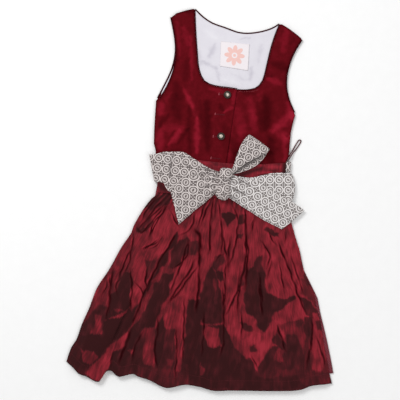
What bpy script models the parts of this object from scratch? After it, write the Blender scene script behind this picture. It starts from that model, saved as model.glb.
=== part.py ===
"""A dirndl laid flat on its back, built from its cut pieces.

The frame is the garment's own: +Y runs from the hem to the neck, +X to the wearer's left,
+Z away from the surface that it lies on. The origin is under the middle of its outline.
All sizes in this script are millimetres, and `put` turns them into metres.
"""
import math

import bmesh
import bpy
from mathutils import Vector, geometry

MILLIMETRE = 0.001

# Cloth and gaps
SEAM_GAP = 0.3
BACK_WALL = 1.4
LINING_WALL = 1.0
FRONT_WALL = 2.0
SKIRT_WALL = 1.2
APRON_WALL = 1.2
BAND_WALL = 1.8
TIE_WALL = 1.2
PIPING_WIDTH = 2.4

# Heights of the layers above the surface, each at its underside
LINING_Z = BACK_WALL + SEAM_GAP
FRONT_Z = LINING_Z + LINING_WALL + SEAM_GAP
LABEL_Z = FRONT_Z
SKIRT_FRONT_Z = SKIRT_WALL + SEAM_GAP
APRON_Z = SKIRT_FRONT_Z + SKIRT_WALL + 0.6
BAND_Z = 9.3
TIE_TOP_Z = 12.6

# The tie that runs under the back lifts what lies on it
STRIP_LIFT = TIE_WALL + SEAM_GAP
STRIP_LOW_Y = 36.0
STRIP_HIGH_Y = 112.0
LIFT_RAMP = 85.0

# Bodice: finished edges, each line run so that the cloth is on its left
WAIST_Y = 30.0
SIDE_WEARERS_LEFT = [(159, 30), (162, 92), (163, 117), (166, 135), (165, 195), (171, 238)]
ARMHOLE_WEARERS_LEFT = [
    (170, 246), (154, 275), (144, 306), (142, 337), (146, 366), (155, 396), (170, 427),
]
SHOULDER_WEARERS_LEFT = [(165, 432), (151.5, 441), (132, 452.5), (114.5, 461)]
NECK_FRONT_LEFT = [
    (107, 461), (99, 434), (92, 400), (86, 355), (83, 331), (80, 317), (73, 304), (64, 296),
    (51, 291.5), (40, 289.3), (29, 288.4), (20.7, 288.3),
]
NECK_FRONT_RIGHT = [
    (20, 290), (-5, 291), (-36, 292), (-63, 301), (-79, 328), (-88, 370), (-98, 427), (-105, 476),
]
NECK_BACK = [
    (106.5, 462), (98, 455), (89, 449), (67, 439.5), (41, 432.5), (21, 430.3), (7, 431), (-29, 440),
    (-58, 447), (-83, 460), (-104, 476.5),
]
SHOULDER_WEARERS_RIGHT = [(-110, 476.5), (-129, 470), (-151, 461)]
ARMHOLE_RIGHT_BACK = [
    (-165, 449), (-152, 407), (-146, 379), (-145, 350), (-151, 315), (-165, 276), (-177, 246),
]
ARMHOLE_RIGHT_FRONT = [
    (-165, 449), (-152, 407), (-146, 379), (-143, 351), (-146, 316), (-157, 277), (-172, 246),
]
SIDE_WEARERS_RIGHT = [
    (-179, 238), (-176, 164), (-173, 130), (-167, 114), (-165, 98), (-157, 60), (-152, 30),
]
EDGE_STEP = 13.0
SIDE_STEP = 25.0
FRONT_STEP = 17.0
LINING_LOW_Y = 222.0
HIDDEN_INSET = 2.0

# Closing: the right front lies on the left front
OVERLAP_EDGE = [(7, 30), (11, 96), (20, 290)]
UNDERLAP_EDGE = [(-25, 284), (-30, 30)]
OVERLAP_RISE = FRONT_WALL + 0.4
CLOSING_X = -4.0
CLOSING_HALF_WIDTH = 34.0
CLOSING_FADE = 22.0
OVERLAP_RAMP_START = 4.0
OVERLAP_RAMP_END = 24.0
BUTTON_PLACES = [(-3, 271), (-8, 166)]
BUTTON_RADIUS = 9.35
BUTTON_SIDES = 16
# columns: share of the radius, height
BUTTON_PROFILE = [
    (0.0, 5.6), (0.35, 5.2), (0.62, 3.9), (0.74, 2.8), (0.86, 3.1), (1.0, 2.0), (1.0, 0.7), (0.8, 0.0),
]
LABEL_CORNERS = [(-29, 341), (42, 337), (39, 403), (-33, 403)]

# Fullness of the fronts: they round up from every edge
FULLNESS = 4.0
FULLNESS_REACH = 45.0
FULLNESS_LOW_Y = 105.0
FULLNESS_HIGH_Y = 165.0

# Ridges (+) and troughs (-) of the fronts
# columns: x1, y1, x2, y2, half width, height
FRONT_FOLDS = [
    (-95, 252, -76, 208, 17, 2.6),
    (-76, 208, -64, 128, 13, 3.4),
    (-50, 205, -45, 135, 12, -1.5),
    (-112, 172, -140, 128, 14, 2.0),
    (104, 226, 118, 200, 15, -2.4),
    (118, 200, 147, 140, 14, -2.6),
    (128, 222, 150, 165, 15, 2.4),
    (68, 262, 60, 180, 18, 1.6),
]

# Skirt and apron outlines, from the waist down and from the wearer's right to the left
SKIRT_SIDE_RIGHT = [
    (-154, 30), (-151, 7), (-164, -6), (-180, -31), (-202, -79), (-206, -97), (-227, -136),
    (-252, -195), (-277, -243), (-291, -295), (-305, -337), (-315, -378), (-326, -399),
    (-334, -435),
]
SKIRT_SIDE_LEFT = [
    (159, 30), (168, 22), (179, 4), (188, -24), (202, -62), (219, -101), (231, -140),
    (246, -168), (265, -191), (279, -222), (284, -243), (294, -270), (308, -310), (317, -337),
    (334, -394),
]
SKIRT_HEM = [
    (-320, -410), (-247, -436), (-218, -420), (-152, -426), (-33, -436), (82, -438), (218, -425),
    (284, -405), (334, -394),
]
SKIRT_INSET = 5.0
SKIRT_HIDDEN_FROM_Y = -390.0
APRON_TOP = [(-150, 14), (-66, 18), (20, 22), (94, 26), (163, 29)]
APRON_EDGE_LEFT = [
    (246, -170), (261, -190), (273, -231), (283, -255), (291, -280), (298, -305), (306, -336),
    (315, -364), (323, -392), (333, -420),
]
APRON_EDGE_FROM = 7
APRON_HEM = [
    (-334, -435), (-314, -448), (-299, -461), (-283, -465), (-256, -476), (-247, -476), (-231, -448),
    (-218, -445), (-207, -455), (-198, -458), (-164, -447), (-152, -452), (-123, -458), (-78, -473),
    (-33, -461), (5, -462), (40, -468), (82, -463), (218, -450), (260, -442), (284, -430), (334, -420),
]

# Gathers and folds of the skirt
GATHERS = 26
GATHER_HEIGHT = 1.7
BACK_GATHERS = 20
BACK_GATHER_HEIGHT = 1.2
BACK_GATHER_HIGH_Y = -20.0
BACK_GATHER_LOW_Y = -150.0
BULGE = 2.5
BULGE_REACH = 80.0
FOLD_RISE = 7.5
FOLD_EDGE = 26.0
GATHER_REACH = 0.13
GATHER_REACH_EXTRA = 0.09

# Valleys between the apron's folds
# columns: across at start, middle, end (0 to 1), down at start, end (0 to 1), half width, depth (0 to 1)
APRON_VALLEYS = [
    (0.400, 0.454, 0.471, 0.10, 0.66, 9, 1.0),
    (0.358, 0.255, 0.200, 0.16, 0.90, 12, 1.0),
    (0.525, 0.590, 0.582, 0.12, 0.86, 8, 0.8),
    (0.676, 0.684, 0.641, 0.10, 0.66, 9, 0.9),
    (0.885, 0.911, 0.938, 0.20, 0.70, 10, 0.9),
    (0.935, 0.928, 0.932, 0.16, 0.46, 7, 0.6),
    (0.805, 0.818, 0.835, 0.66, 0.88, 11, 0.7),
    (0.955, 0.930, 0.905, 0.60, 1.00, 12, 0.8),
    (0.504, 0.496, 0.485, 0.66, 1.00, 9, 0.7),
    (0.447, 0.480, 0.500, 0.05, 0.34, 7, 0.7),
    (0.619, 0.612, 0.606, 0.14, 0.44, 7, 0.7),
    (0.800, 0.792, 0.822, 0.12, 0.40, 8, 0.7),
    (0.453, 0.344, 0.305, 0.38, 0.84, 11, 0.8),
    (0.126, 0.189, 0.214, 0.28, 0.52, 12, 0.7),
    (0.167, 0.100, 0.040, 0.08, 0.24, 9, 0.8),
    (0.230, 0.150, 0.100, 0.60, 1.00, 16, 0.9),
    (0.060, 0.050, 0.045, 0.36, 0.70, 11, 0.7),
    (0.725, 0.740, 0.720, 0.30, 0.80, 14, 0.6),
]
APRON_ROWS = [0, .02, .045, .08, .125, .18, .24, .31, .38, .46, .54, .62, .70, .78, .86, .935, 1]
SKIRT_FRONT_ROWS = 12
SKIRT_FRONT_COLUMNS = 22
SKIRT_BACK_ROWS = [0, .05, .11, .18, .27, .4, .6, .8, 1]

# Waistband of the apron
BAND_TOP = [(-158, 98), (-66, 101), (21, 101), (94, 107), (159.4, 117)]
BAND_HEIGHT = 88.0
BAND_SLANT = 5.3
BAND_COLUMNS = 16
BAND_ROWS = 4
BAND_END_DROP = 1.6
BAND_END_REACH = 24.0

# Ties. Each row of a table is one section across the tie: its upper edge, middle and lower edge,
# at the outer face of the cloth. columns: x, y, z three times
BEND = [(22, 0.0), (10, 0.0), (3, 0.11), (0, 0.5), (1.5, 0.82), (5, 0.96), (12, 1.0)]
WRAP_RIGHT_EDGE = [(-182, 103), (-172, 68), (-162, 36)]
WRAP_RIGHT = [
    (-146, 112.5, 12.6, -143, 74, 12.8, -139, 35.5, 12.6),
    (-122, 115.2, 12.6, -127, 70, 12.9, -132, 25, 12.6),
    (-98, 116.8, 12.6, -110, 66, 13.0, -120, 15, 12.8),
    (-83, 111, 12.6, -90, 71, 13.4, -98, 34, 12.6),
    (-65, 101.4, 12.6, -69, 74, 14.0, -75, 48, 12.6),
    (-43, 90.5, 12.8, -43, 75.5, 15.6, -45, 59, 12.6),
    (-22, 81.5, 13.4, -21.5, 74, 18.0, -22.5, 64, 12.6),
    (-4.4, 78, 14.2, -3.8, 72.5, 20.0, -4.4, 64.5, 12.8),
]
WRAP_LEFT_EDGE = [(178, 91.5), (190, 58), (185.5, 22)]
WRAP_LEFT = [
    (150, 91, 12.6, 155, 57, 12.8, 158, 24, 12.6),
    (125, 87, 12.6, 126, 56, 13.2, 128, 27, 12.6),
    (100, 78, 12.8, 99, 56, 13.6, 98, 34, 12.6),
    (75, 71, 13.4, 70, 56, 14.0, 66, 41, 12.6),
    (50, 71, 14.4, 48, 58, 14.4, 47, 44, 12.6),
    (30.6, 72, 15.2, 29.6, 59, 14.4, 29.8, 46, 12.8),
]
TAIL_RIGHT = [
    (-3.6, 65.5, 17.4, -2.2, 44, 25.0, -7.6, 21, 15.0),
    (-20, 65.5, 17.0, -19, 37, 22.0, -21, 8, 13.6),
    (-34, 65, 16.6, -34, 31, 19.4, -32, -4, 12.8),
    (-60, 61.5, 16.2, -58, 20, 16.6, -51, -22, 11.6),
    (-88, 55, 16.0, -80, 6, 14.6, -67, -39, 11.2),
    (-106, 34, 15.8, -92, -8, 13.4, -79, -52, 10.8),
    (-118, 14, 15.4, -104, -25, 12.8, -90, -64, 10.6),
]
TAIL_LEFT = [
    (29.4, 66, 18.0, 29.4, 40, 25.0, 29.2, 14, 16.0),
    (46, 67.5, 17.4, 46, 34, 22.0, 46, 6, 14.4),
    (64, 68, 16.8, 62, 29, 19.6, 63, -3, 13.2),
    (89, 65, 16.6, 84, 25, 17.0, 82, -12, 12.6),
    (138, 44, 15.8, 128, 6, 15.2, 118, -30, 10.9),
    (186, 22, 15.4, 166, -9, 13.6, 146, -41, 10.0),
    (219, 4, 8.6, 196, -21, 10.2, 168, -49, 8.8),
]
LOOP = [
    (29.6, 86.5, 13.6, 30.4, 80.5, 12.8, 31.6, 73.8, 13.0),
    (42, 116, 12.4, 58, 102, 11.7, 80, 97, 12.6),
    (53, 150, 12.4, 76, 134, 11.7, 102, 120, 12.4),
    (59, 171, 13.2, 85, 158, 12.6, 113, 142, 13.2),
    (61.5, 178, 18.0, 88.5, 164, 18.0, 116, 147, 17.4),
    (59, 175, 22.6, 86, 161, 23.6, 112.5, 143, 21.8),
    (47, 158, 24.4, 67, 143, 26.4, 90, 125, 23.6),
    (35.5, 121, 23.6, 45, 112, 26.0, 58, 103, 23.0),
    (28.2, 89, 20.6, 29.6, 84, 22.6, 31.6, 78, 20.4),
]
STUB_TOP_Z = 10.6
STUB_EDGE = [(173, 121), (174, 108), (174, 95.5)]
STUB_END = (160.6, 121.5, STUB_TOP_Z, 161.3, 108, STUB_TOP_Z, 162, 95.5, STUB_TOP_Z)
TIE_COLUMNS = 8
TIE_STEP = 14.0
LOOP_STEP = 11.0
TIE_PLEATS = 3
PLEAT_HEIGHT = 1.4
PLEAT_REACH = 0.42

# Knot: sections from the neck side to the hem side
# columns: y, left x, right x, low z, high z
KNOT = [
    (89, 8, 20, 15, 23),
    (85, 1, 26, 12.6, 28),
    (75, -2.5, 29, 11.6, 32),
    (63, -2, 27.5, 11.5, 33),
    (54, -1, 25, 11.5, 32),
    (43, 1, 27.5, 11.5, 33),
    (31, -1, 28.5, 11.5, 33),
    (19, -6, 27.5, 11.8, 31),
    (11, 2, 23, 12.8, 27),
    (7.5, 8, 18, 15, 22),
]
KNOT_SIDES = 12

# Hanger loop: a narrow ribbon, its strands side by side
RIBBON_WIDTH = 1.8
HANGER = [
    (161, 123.4, 8.3), (163.5, 128, 8.1), (167, 135, 7.2), (173, 148, 3.4), (177.5, 158, 1.4),
    (182, 168, 1.1), (186, 176, 1.1), (189.5, 178.6, 1.1), (192.6, 177.2, 1.1), (192.4, 173.5, 1.1),
    (187.5, 163, 1.1), (181, 151.5, 1.6), (176, 145.6, 3.4), (170, 133, 7.2), (166.6, 126, 8.1),
    (165.4, 123.4, 8.3),
]
HANGER_STEP = 9.0


def srgb(red, green, blue):
    """A colour as it looks on a screen, in the linear values that a shader takes."""
    def linear(value):
        value /= 255
        return value / 12.92 if value <= 0.04045 else ((value + 0.055) / 1.055) ** 2.4
    return (linear(red), linear(green), linear(blue), 1)


# columns: name, red, green, blue, roughness, metallic
MATERIALS = {
    name: (srgb(red, green, blue), roughness, metallic)
    for name, red, green, blue, roughness, metallic in [
        ("velvet", 105, 10, 22, 0.85, 0),
        ("lining", 222, 219, 226, 0.8, 0),
        ("piping", 52, 16, 22, 0.6, 0),
        ("taffeta", 118, 32, 40, 0.35, 0),
        ("dotted_cotton", 122, 28, 48, 0.8, 0),
        ("jacquard", 178, 170, 168, 0.6, 0),
        ("pewter", 112, 104, 96, 0.4, 0.9),
        ("label", 240, 236, 238, 0.7, 0),
    ]
}


def clear_scene():
    for thing in list(bpy.data.objects):
        bpy.data.objects.remove(thing, do_unlink=True)


def material(name):
    """The material of that name, made the first time it is asked for."""
    found = bpy.data.materials.get(name)
    if found:
        return found
    colour, roughness, metallic = MATERIALS[name]
    made = bpy.data.materials.new(name)
    made.use_nodes = True
    shader = made.node_tree.nodes["Principled BSDF"]
    shader.inputs["Base Color"].default_value = colour
    shader.inputs["Roughness"].default_value = roughness
    shader.inputs["Metallic"].default_value = metallic
    made.diffuse_color = colour
    return made


def put(name, points, faces, cloth, smooth=False):
    """One closed body from points in millimetres, its faces turned outwards."""
    mesh = bpy.data.meshes.new(name)
    mesh.from_pydata([Vector(point) * MILLIMETRE for point in points], [], faces)
    shape = bmesh.new()
    shape.from_mesh(mesh)
    bmesh.ops.recalc_face_normals(shape, faces=shape.faces)
    shape.to_mesh(mesh)
    shape.free()
    if smooth:
        mesh.shade_smooth()
    mesh.materials.append(material(cloth))
    thing = bpy.data.objects.new(name, mesh)
    bpy.context.scene.collection.objects.link(thing)
    return thing


def ease(value):
    """0 up to 1 with a level start and end."""
    value = min(1.0, max(0.0, value))
    return value * value * (3 - 2 * value)


def through(points, step, counts=None):
    """A smooth line through the points, with a point about every step or a given count of them."""
    points = [Vector(point) for point in points]
    last = len(points) - 1
    line = [points[0].copy()]
    for index in range(last):
        start, end = points[index], points[index + 1]
        before, after = points[max(index - 1, 0)], points[min(index + 2, last)]
        length = (end - start).length
        leave = (end - before) * (length / (length + (start - before).length))
        arrive = (after - start) * (length / (length + (after - end).length))
        count = counts[index] if counts else max(1, round(length / step))
        for place in range(1, count + 1):
            t = place / count
            line.append(
                start * (2 * t ** 3 - 3 * t ** 2 + 1) + leave * (t ** 3 - 2 * t ** 2 + t)
                + end * (3 * t ** 2 - 2 * t ** 3) + arrive * (t ** 3 - t ** 2)
            )
    return line


def moved(line, distance):
    """A flat line moved to its left."""
    result = []
    last = len(line) - 1
    for index, point in enumerate(line):
        run = line[min(index + 1, last)] - line[max(index - 1, 0)]
        result.append(point + Vector((-run.y, run.x)).normalized() * distance)
    return result


def along(line):
    """A function that gives the place at a share, 0 to 1, of a line's length."""
    lengths = [0.0]
    for first, second in zip(line, line[1:]):
        lengths.append(lengths[-1] + (second - first).length)

    def place(share):
        target = share * lengths[-1]
        index = 0
        while index < len(line) - 2 and lengths[index + 1] < target:
            index += 1
        span = lengths[index + 1] - lengths[index]
        return line[index].lerp(line[index + 1], (target - lengths[index]) / span)
    return place


def patch(top, bottom, left, right):
    """A function from (across, down) to a flat place, for a cloth between four edge lines."""
    top, bottom, left, right = along(top), along(bottom), along(left), along(right)

    def place(across, down):
        sides = left(down) * (1 - across) + right(down) * across
        ends = top(across) * (1 - down) + bottom(across) * down
        corners = (
            (top(0) * (1 - across) + top(1) * across) * (1 - down)
            + (bottom(0) * (1 - across) + bottom(1) * across) * down
        )
        return sides + ends - corners
    return place


def distance_to(place, lines):
    """How far a flat place lies from the nearest of some lines."""
    nearest = math.inf
    for line in lines:
        for start, end in zip(line, line[1:]):
            run = end - start
            share = max(0.0, min(1.0, (place - start).dot(run) / run.length_squared))
            nearest = min(nearest, (place - start - run * share).length)
    return nearest


def inside(place, outline):
    result = False
    for start, end in zip(outline, outline[1:] + outline[:1]):
        if (start.y > place.y) != (end.y > place.y):
            if place.x < start.x + (place.y - start.y) / (end.y - start.y) * (end.x - start.x):
                result = not result
    return result


def staggered_points(outline, lines, step):
    """Points inside an outline, a step apart in staggered rows, clear of the lines."""
    low_x, high_x = min(p.x for p in outline), max(p.x for p in outline)
    low_y, high_y = min(p.y for p in outline), max(p.y for p in outline)
    closed = outline + outline[:1]
    points = []
    row_step = step * math.sqrt(3) / 2
    for row in range(1, int((high_y - low_y) / row_step) + 1):
        y = low_y + row * row_step
        x = low_x + step * (0.5 if row % 2 else 1.0)
        while x < high_x:
            place = Vector((x, y))
            if inside(place, outline) and distance_to(place, [closed] + lines) > step * 0.55:
                points.append(place)
            x += step
    return points


def panel(name, outline, under, thickness, cloth, step, creases=()):
    """A cut piece of cloth: a wall of one thickness over the height that `under` gives."""
    creases = [list(line) for line in creases]
    points = list(outline)
    edges = []
    for line in creases:
        first = len(points)
        points += line
        edges += [(index, index + 1) for index in range(first, len(points) - 1)]
    points += staggered_points(outline, creases, step)
    border = list(range(len(outline)))
    places, _, triangles, *_ = geometry.delaunay_2d_cdt(points, edges, [border], 0, 1e-6, False)
    triangles = [
        face for face in triangles
        if inside((places[face[0]] + places[face[1]] + places[face[2]]) / 3, outline)
    ]
    count = len(places)
    low = [(p.x, p.y, under(p)) for p in places]
    high = [(x, y, z + thickness) for x, y, z in low]
    faces = [tuple(reversed(face)) for face in triangles]
    faces += [tuple(index + count for index in face) for face in triangles]
    sides = {}
    for face in triangles:
        for start, end in zip(face, face[1:] + face[:1]):
            sides[(start, end)] = (end, start) not in sides
            if (end, start) in sides:
                sides[(end, start)] = False
    for (start, end), open_side in sides.items():
        if open_side:
            faces += [(start, end, end + count), (start, end + count, start + count)]
    return put(name, low + high, faces, cloth)


def grid_wall(name, low, high, cloth, smooth=False):
    """A wall between two grids of points that match, a list of rows each."""
    rows, columns = len(low), len(low[0])
    count = rows * columns
    points = [point for row in low for point in row] + [point for row in high for point in row]
    faces = []
    for row in range(rows - 1):
        for column in range(columns - 1):
            first = row * columns + column
            corners = (first, first + 1, first + columns + 1, first + columns)
            a, b, c, d = corners
            faces += [(a, b, c), (a, c, d)]
            faces += [(c + count, b + count, a + count), (d + count, c + count, a + count)]
    border = [column for column in range(columns)]
    border += [row * columns + columns - 1 for row in range(1, rows)]
    border += [(rows - 1) * columns + column for column in range(columns - 2, -1, -1)]
    border += [row * columns for row in range(rows - 2, 0, -1)]
    for start, end in zip(border, border[1:] + border[:1]):
        faces += [(end, start, start + count), (end, start + count, end + count)]
    return put(name, points, faces, cloth, smooth)


def lift(y):
    """How much the tie under the back raises the layers above it."""
    if y > STRIP_HIGH_Y:
        return STRIP_LIFT * ease(1 - (y - STRIP_HIGH_Y) / LIFT_RAMP)
    return STRIP_LIFT * ease(1 - (STRIP_LOW_Y - y) / LIFT_RAMP)


def flat_lines():
    """The bodice's finished edge lines, drawn smoothly."""
    return {
        "side_left": through(SIDE_WEARERS_LEFT, SIDE_STEP),
        "arm_left": through(ARMHOLE_WEARERS_LEFT, EDGE_STEP),
        "neck_front_left": through(NECK_FRONT_LEFT, EDGE_STEP),
        "neck_front_right": through(NECK_FRONT_RIGHT, EDGE_STEP),
        "neck_back": through(NECK_BACK, EDGE_STEP),
        "arm_right_back": through(ARMHOLE_RIGHT_BACK, EDGE_STEP),
        "arm_right_front": through(ARMHOLE_RIGHT_FRONT, EDGE_STEP),
        "side_right": through(SIDE_WEARERS_RIGHT, SIDE_STEP),
    }


LINES = flat_lines()
PANEL_INSET = PIPING_WIDTH + SEAM_GAP
SHOULDER_LEFT = [Vector(point) for point in SHOULDER_WEARERS_LEFT]
SHOULDER_RIGHT = [Vector(point) for point in SHOULDER_WEARERS_RIGHT]
UNDER_SHOULDER_LEFT = moved(SHOULDER_LEFT, HIDDEN_INSET)
UNDER_SHOULDER_RIGHT = moved(SHOULDER_RIGHT, HIDDEN_INSET)


def cut_edge(line, extra=0.0):
    """A panel's own edge, inside the piping that finishes it."""
    return moved(LINES[line], PANEL_INSET + extra)


def underlap_distance(place):
    """How far a place lies from the hidden edge, counted towards the wearer's right."""
    high, low = (Vector(point) for point in UNDERLAP_EDGE)
    share = (place.y - low.y) / (high.y - low.y)
    return low.x + (high.x - low.x) * share - place.x


def fold_height(place, table):
    """The ridges and troughs of a table at one place."""
    height = 0.0
    for x1, y1, x2, y2, half_width, rise in table:
        start, run = Vector((x1, y1)), Vector((x2 - x1, y2 - y1))
        share = (place - start).dot(run) / run.length_squared
        nearest = start + run * max(0.0, min(1.0, share))
        away = (place - nearest).length / half_width
        height += rise * math.exp(-away * away)
    return height


def front_height(place):
    """The underside of a front, apart from where one front lies on the other."""
    edges = [LINES[name] for name in (
        "side_left", "arm_left", "neck_front_left", "neck_front_right", "arm_right_front", "side_right")]
    level = ease((place.y - FULLNESS_LOW_Y) / (FULLNESS_HIGH_Y - FULLNESS_LOW_Y))
    share = ease(distance_to(place, edges) / FULLNESS_REACH)
    clear_of_closing = ease((abs(place.x - CLOSING_X) - CLOSING_HALF_WIDTH) / CLOSING_FADE)
    folds = fold_height(place, FRONT_FOLDS) * clear_of_closing
    fullness = max(0.0, FULLNESS + folds)
    return FRONT_Z + lift(place.y) + fullness * share * level


def right_front_height(place):
    away = underlap_distance(place)
    on_top = ease(1 - (away - OVERLAP_RAMP_START) / (OVERLAP_RAMP_END - OVERLAP_RAMP_START))
    return front_height(place) + OVERLAP_RISE * on_top


def make_bodice():
    """Back, lining and the two fronts."""
    back = (
        [Vector((-152, WAIST_Y)), Vector((159, WAIST_Y))] + LINES["side_left"][1:]
        + cut_edge("arm_left", HIDDEN_INSET) + UNDER_SHOULDER_LEFT + cut_edge("neck_back")
        + UNDER_SHOULDER_RIGHT + cut_edge("arm_right_back") + LINES["side_right"][:-1]
    )
    levels = [STRIP_HIGH_Y + share * LIFT_RAMP for share in (0.0, 0.33, 0.67, 1.0)]
    creases = [through([(-150, y), (150, y)], 60) for y in levels]
    panel("bodice_back", back, lambda place: lift(place.y), BACK_WALL, "velvet", 60, creases)

    arm_right = [point for point in cut_edge("arm_right_back", SEAM_GAP) if point.y > LINING_LOW_Y]
    arm_left = cut_edge("arm_left", HIDDEN_INSET + SEAM_GAP)
    arm_left = [point for point in arm_left if point.y > LINING_LOW_Y]
    lining = (
        [Vector((-170, LINING_LOW_Y)), Vector((162, LINING_LOW_Y))] + arm_left
        + UNDER_SHOULDER_LEFT + cut_edge("neck_back", SEAM_GAP) + UNDER_SHOULDER_RIGHT + arm_right
    )
    panel("back_lining", lining, lambda place: LINING_Z, LINING_WALL, "lining", 90)

    overlap = through(OVERLAP_EDGE, 20)
    overlap[-1] = Vector((OVERLAP_EDGE[-1][0], OVERLAP_EDGE[-1][1] - PANEL_INSET))
    neck = cut_edge("neck_front_right")
    right = (
        [Vector((-152, WAIST_Y))] + overlap + neck[1:] + SHOULDER_RIGHT
        + cut_edge("arm_right_front") + LINES["side_right"][:-1]
    )
    creases = []
    for away in (OVERLAP_RAMP_START, OVERLAP_RAMP_END):
        high, low = UNDERLAP_EDGE
        creases.append(through([(low[0] - away, low[1]), (high[0] - away, high[1])], 20))
    panel("bodice_front_right", right, right_front_height, FRONT_WALL, "velvet", FRONT_STEP, creases)

    high, low = UNDERLAP_EDGE
    left = (
        through([high, low], 20) + LINES["side_left"] + cut_edge("arm_left")
        + SHOULDER_LEFT + cut_edge("neck_front_left")
    )
    panel("bodice_front_left", left, front_height, FRONT_WALL, "velvet", FRONT_STEP)


def piping(name, line, height):
    """A covered cord along an edge: its line is the finished edge, moved in by half its width."""
    centre = moved(line, PIPING_WIDTH / 2)
    cord(name, [(point.x, point.y, height(point)) for point in centre], PIPING_WIDTH)


def cord(name, points, width):
    curve = bpy.data.curves.new(name, "CURVE")
    curve.dimensions = "3D"
    curve.bevel_depth = width / 2 * MILLIMETRE
    curve.bevel_resolution = 1
    curve.use_fill_caps = True
    spline = curve.splines.new("POLY")
    spline.points.add(len(points) - 1)
    for target, point in zip(spline.points, points):
        target.co = (*(Vector(point) * MILLIMETRE), 1)
    curve.materials.append(material("piping"))
    thing = bpy.data.objects.new(name, curve)
    bpy.context.scene.collection.objects.link(thing)


def make_pipings():
    low = PIPING_WIDTH / 2

    def on_front(place):
        return front_height(place) + low + 0.1

    def on_right_front(place):
        return right_front_height(place) + low + 0.1

    def on_back(place):
        return low + 0.05

    piping("neck_piping_back", LINES["neck_back"], on_back)
    piping("neck_piping_front_right", LINES["neck_front_right"], on_right_front)
    piping("neck_piping_front_left", LINES["neck_front_left"], on_front)
    piping("armhole_piping_front_right", LINES["arm_right_front"], on_right_front)
    piping("armhole_piping_front_left", LINES["arm_left"], on_front)
    piping("armhole_piping_back_right", LINES["arm_right_back"], on_back)
    piping("armhole_piping_back_left", moved(LINES["arm_left"], HIDDEN_INSET), on_back)


def make_label():
    corners = [Vector(corner) for corner in LABEL_CORNERS]
    panel("label", corners, lambda place: LABEL_Z, LINING_WALL, "label", 200)


def ring(x, y, z, radius, sides):
    """Points of a level circle."""
    turns = [side * math.tau / sides for side in range(sides)]
    return [(x + radius * math.cos(turn), y + radius * math.sin(turn), z) for turn in turns]


def make_buttons():
    """Domed metal buttons with a raised rim, sewn to the closing."""
    for number, (x, y) in enumerate(BUTTON_PLACES, 1):
        under = [Vector(point[:2]) for point in ring(x, y, 0, BUTTON_RADIUS, 8)] + [Vector((x, y))]
        seat = max(right_front_height(place) for place in under) + FRONT_WALL + SEAM_GAP
        points = [(x, y, seat + BUTTON_PROFILE[0][1])]
        for share, height in BUTTON_PROFILE[1:]:
            points += ring(x, y, seat + height, BUTTON_RADIUS * share, BUTTON_SIDES)
        faces = [(0, 1 + side, 1 + (side + 1) % BUTTON_SIDES) for side in range(BUTTON_SIDES)]
        last = 1
        for _ in BUTTON_PROFILE[2:]:
            for side in range(BUTTON_SIDES):
                a, b = last + side, last + (side + 1) % BUTTON_SIDES
                faces.append((a, a + BUTTON_SIDES, b + BUTTON_SIDES, b))
            last += BUTTON_SIDES
        faces.append(tuple(range(last, last + BUTTON_SIDES)))
        put(f"button_{number}", points, faces, "pewter", smooth=True)


def bulge(place, edges):
    """The fullness that the gathered skirt keeps between its sides, in the lower two thirds."""
    down = ease((STRIP_LOW_Y - place.y) / 225)
    return BULGE * down * ease(distance_to(place, edges) / BULGE_REACH)


def back_gather_level(y):
    return ease((y - BACK_GATHER_LOW_Y) / (BACK_GATHER_HIGH_Y - BACK_GATHER_LOW_Y))


def make_skirt():
    """Back and front of the dotted cotton skirt; the apron hides all but its edge."""
    right = [(x + SKIRT_INSET, y) for x, y in SKIRT_SIDE_RIGHT if y > SKIRT_HIDDEN_FROM_Y]
    right.append(SKIRT_HEM[0])
    right[0] = (-154, WAIST_Y - SEAM_GAP)
    left = list(SKIRT_SIDE_LEFT)
    left[0] = (158.5, WAIST_Y - SEAM_GAP)
    top = [Vector(right[0]), Vector(left[0])]
    sides = [through(right, 20), through(left, 20)]
    hem = through(SKIRT_HEM, 20)

    hem_back = [point + Vector((0, HIDDEN_INSET)) for point in hem]
    side_back = [point - Vector((HIDDEN_INSET, 0)) for point in sides[1]]
    place_back = patch(top, hem_back, sides[0], side_back)
    low, high = [], []
    columns = BACK_GATHERS * 2
    for down in SKIRT_BACK_ROWS:
        low_row, high_row = [], []
        for column in range(columns + 1):
            place = place_back(column / columns, down)
            z = lift(place.y) + BACK_GATHER_HEIGHT * back_gather_level(place.y) * (column % 2)
            low_row.append((place.x, place.y, z))
            high_row.append((place.x, place.y, z + SKIRT_WALL))
        low.append(low_row)
        high.append(high_row)
    grid_wall("skirt_back", low, high, "dotted_cotton")

    place_front = patch(top, hem, *sides)
    low, high = [], []
    for row in range(SKIRT_FRONT_ROWS + 1):
        low_row, high_row = [], []
        for column in range(SKIRT_FRONT_COLUMNS + 1):
            place = place_front(column / SKIRT_FRONT_COLUMNS, row / SKIRT_FRONT_ROWS)
            z = (
                SKIRT_FRONT_Z + lift(place.y) + BACK_GATHER_HEIGHT * back_gather_level(place.y)
                + bulge(place, sides + [hem])
            )
            low_row.append((place.x, place.y, z))
            high_row.append((place.x, place.y, z + SKIRT_WALL))
        low.append(low_row)
        high.append(high_row)
    grid_wall("skirt_front", low, high, "dotted_cotton")
    return sides + [hem]


def arc(start, middle, end, share):
    """A smooth run through three values or places, the middle one half way."""
    return (
        start * (1 - share) * (1 - 2 * share) + middle * 4 * share * (1 - share)
        + end * share * (2 * share - 1)
    )


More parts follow.
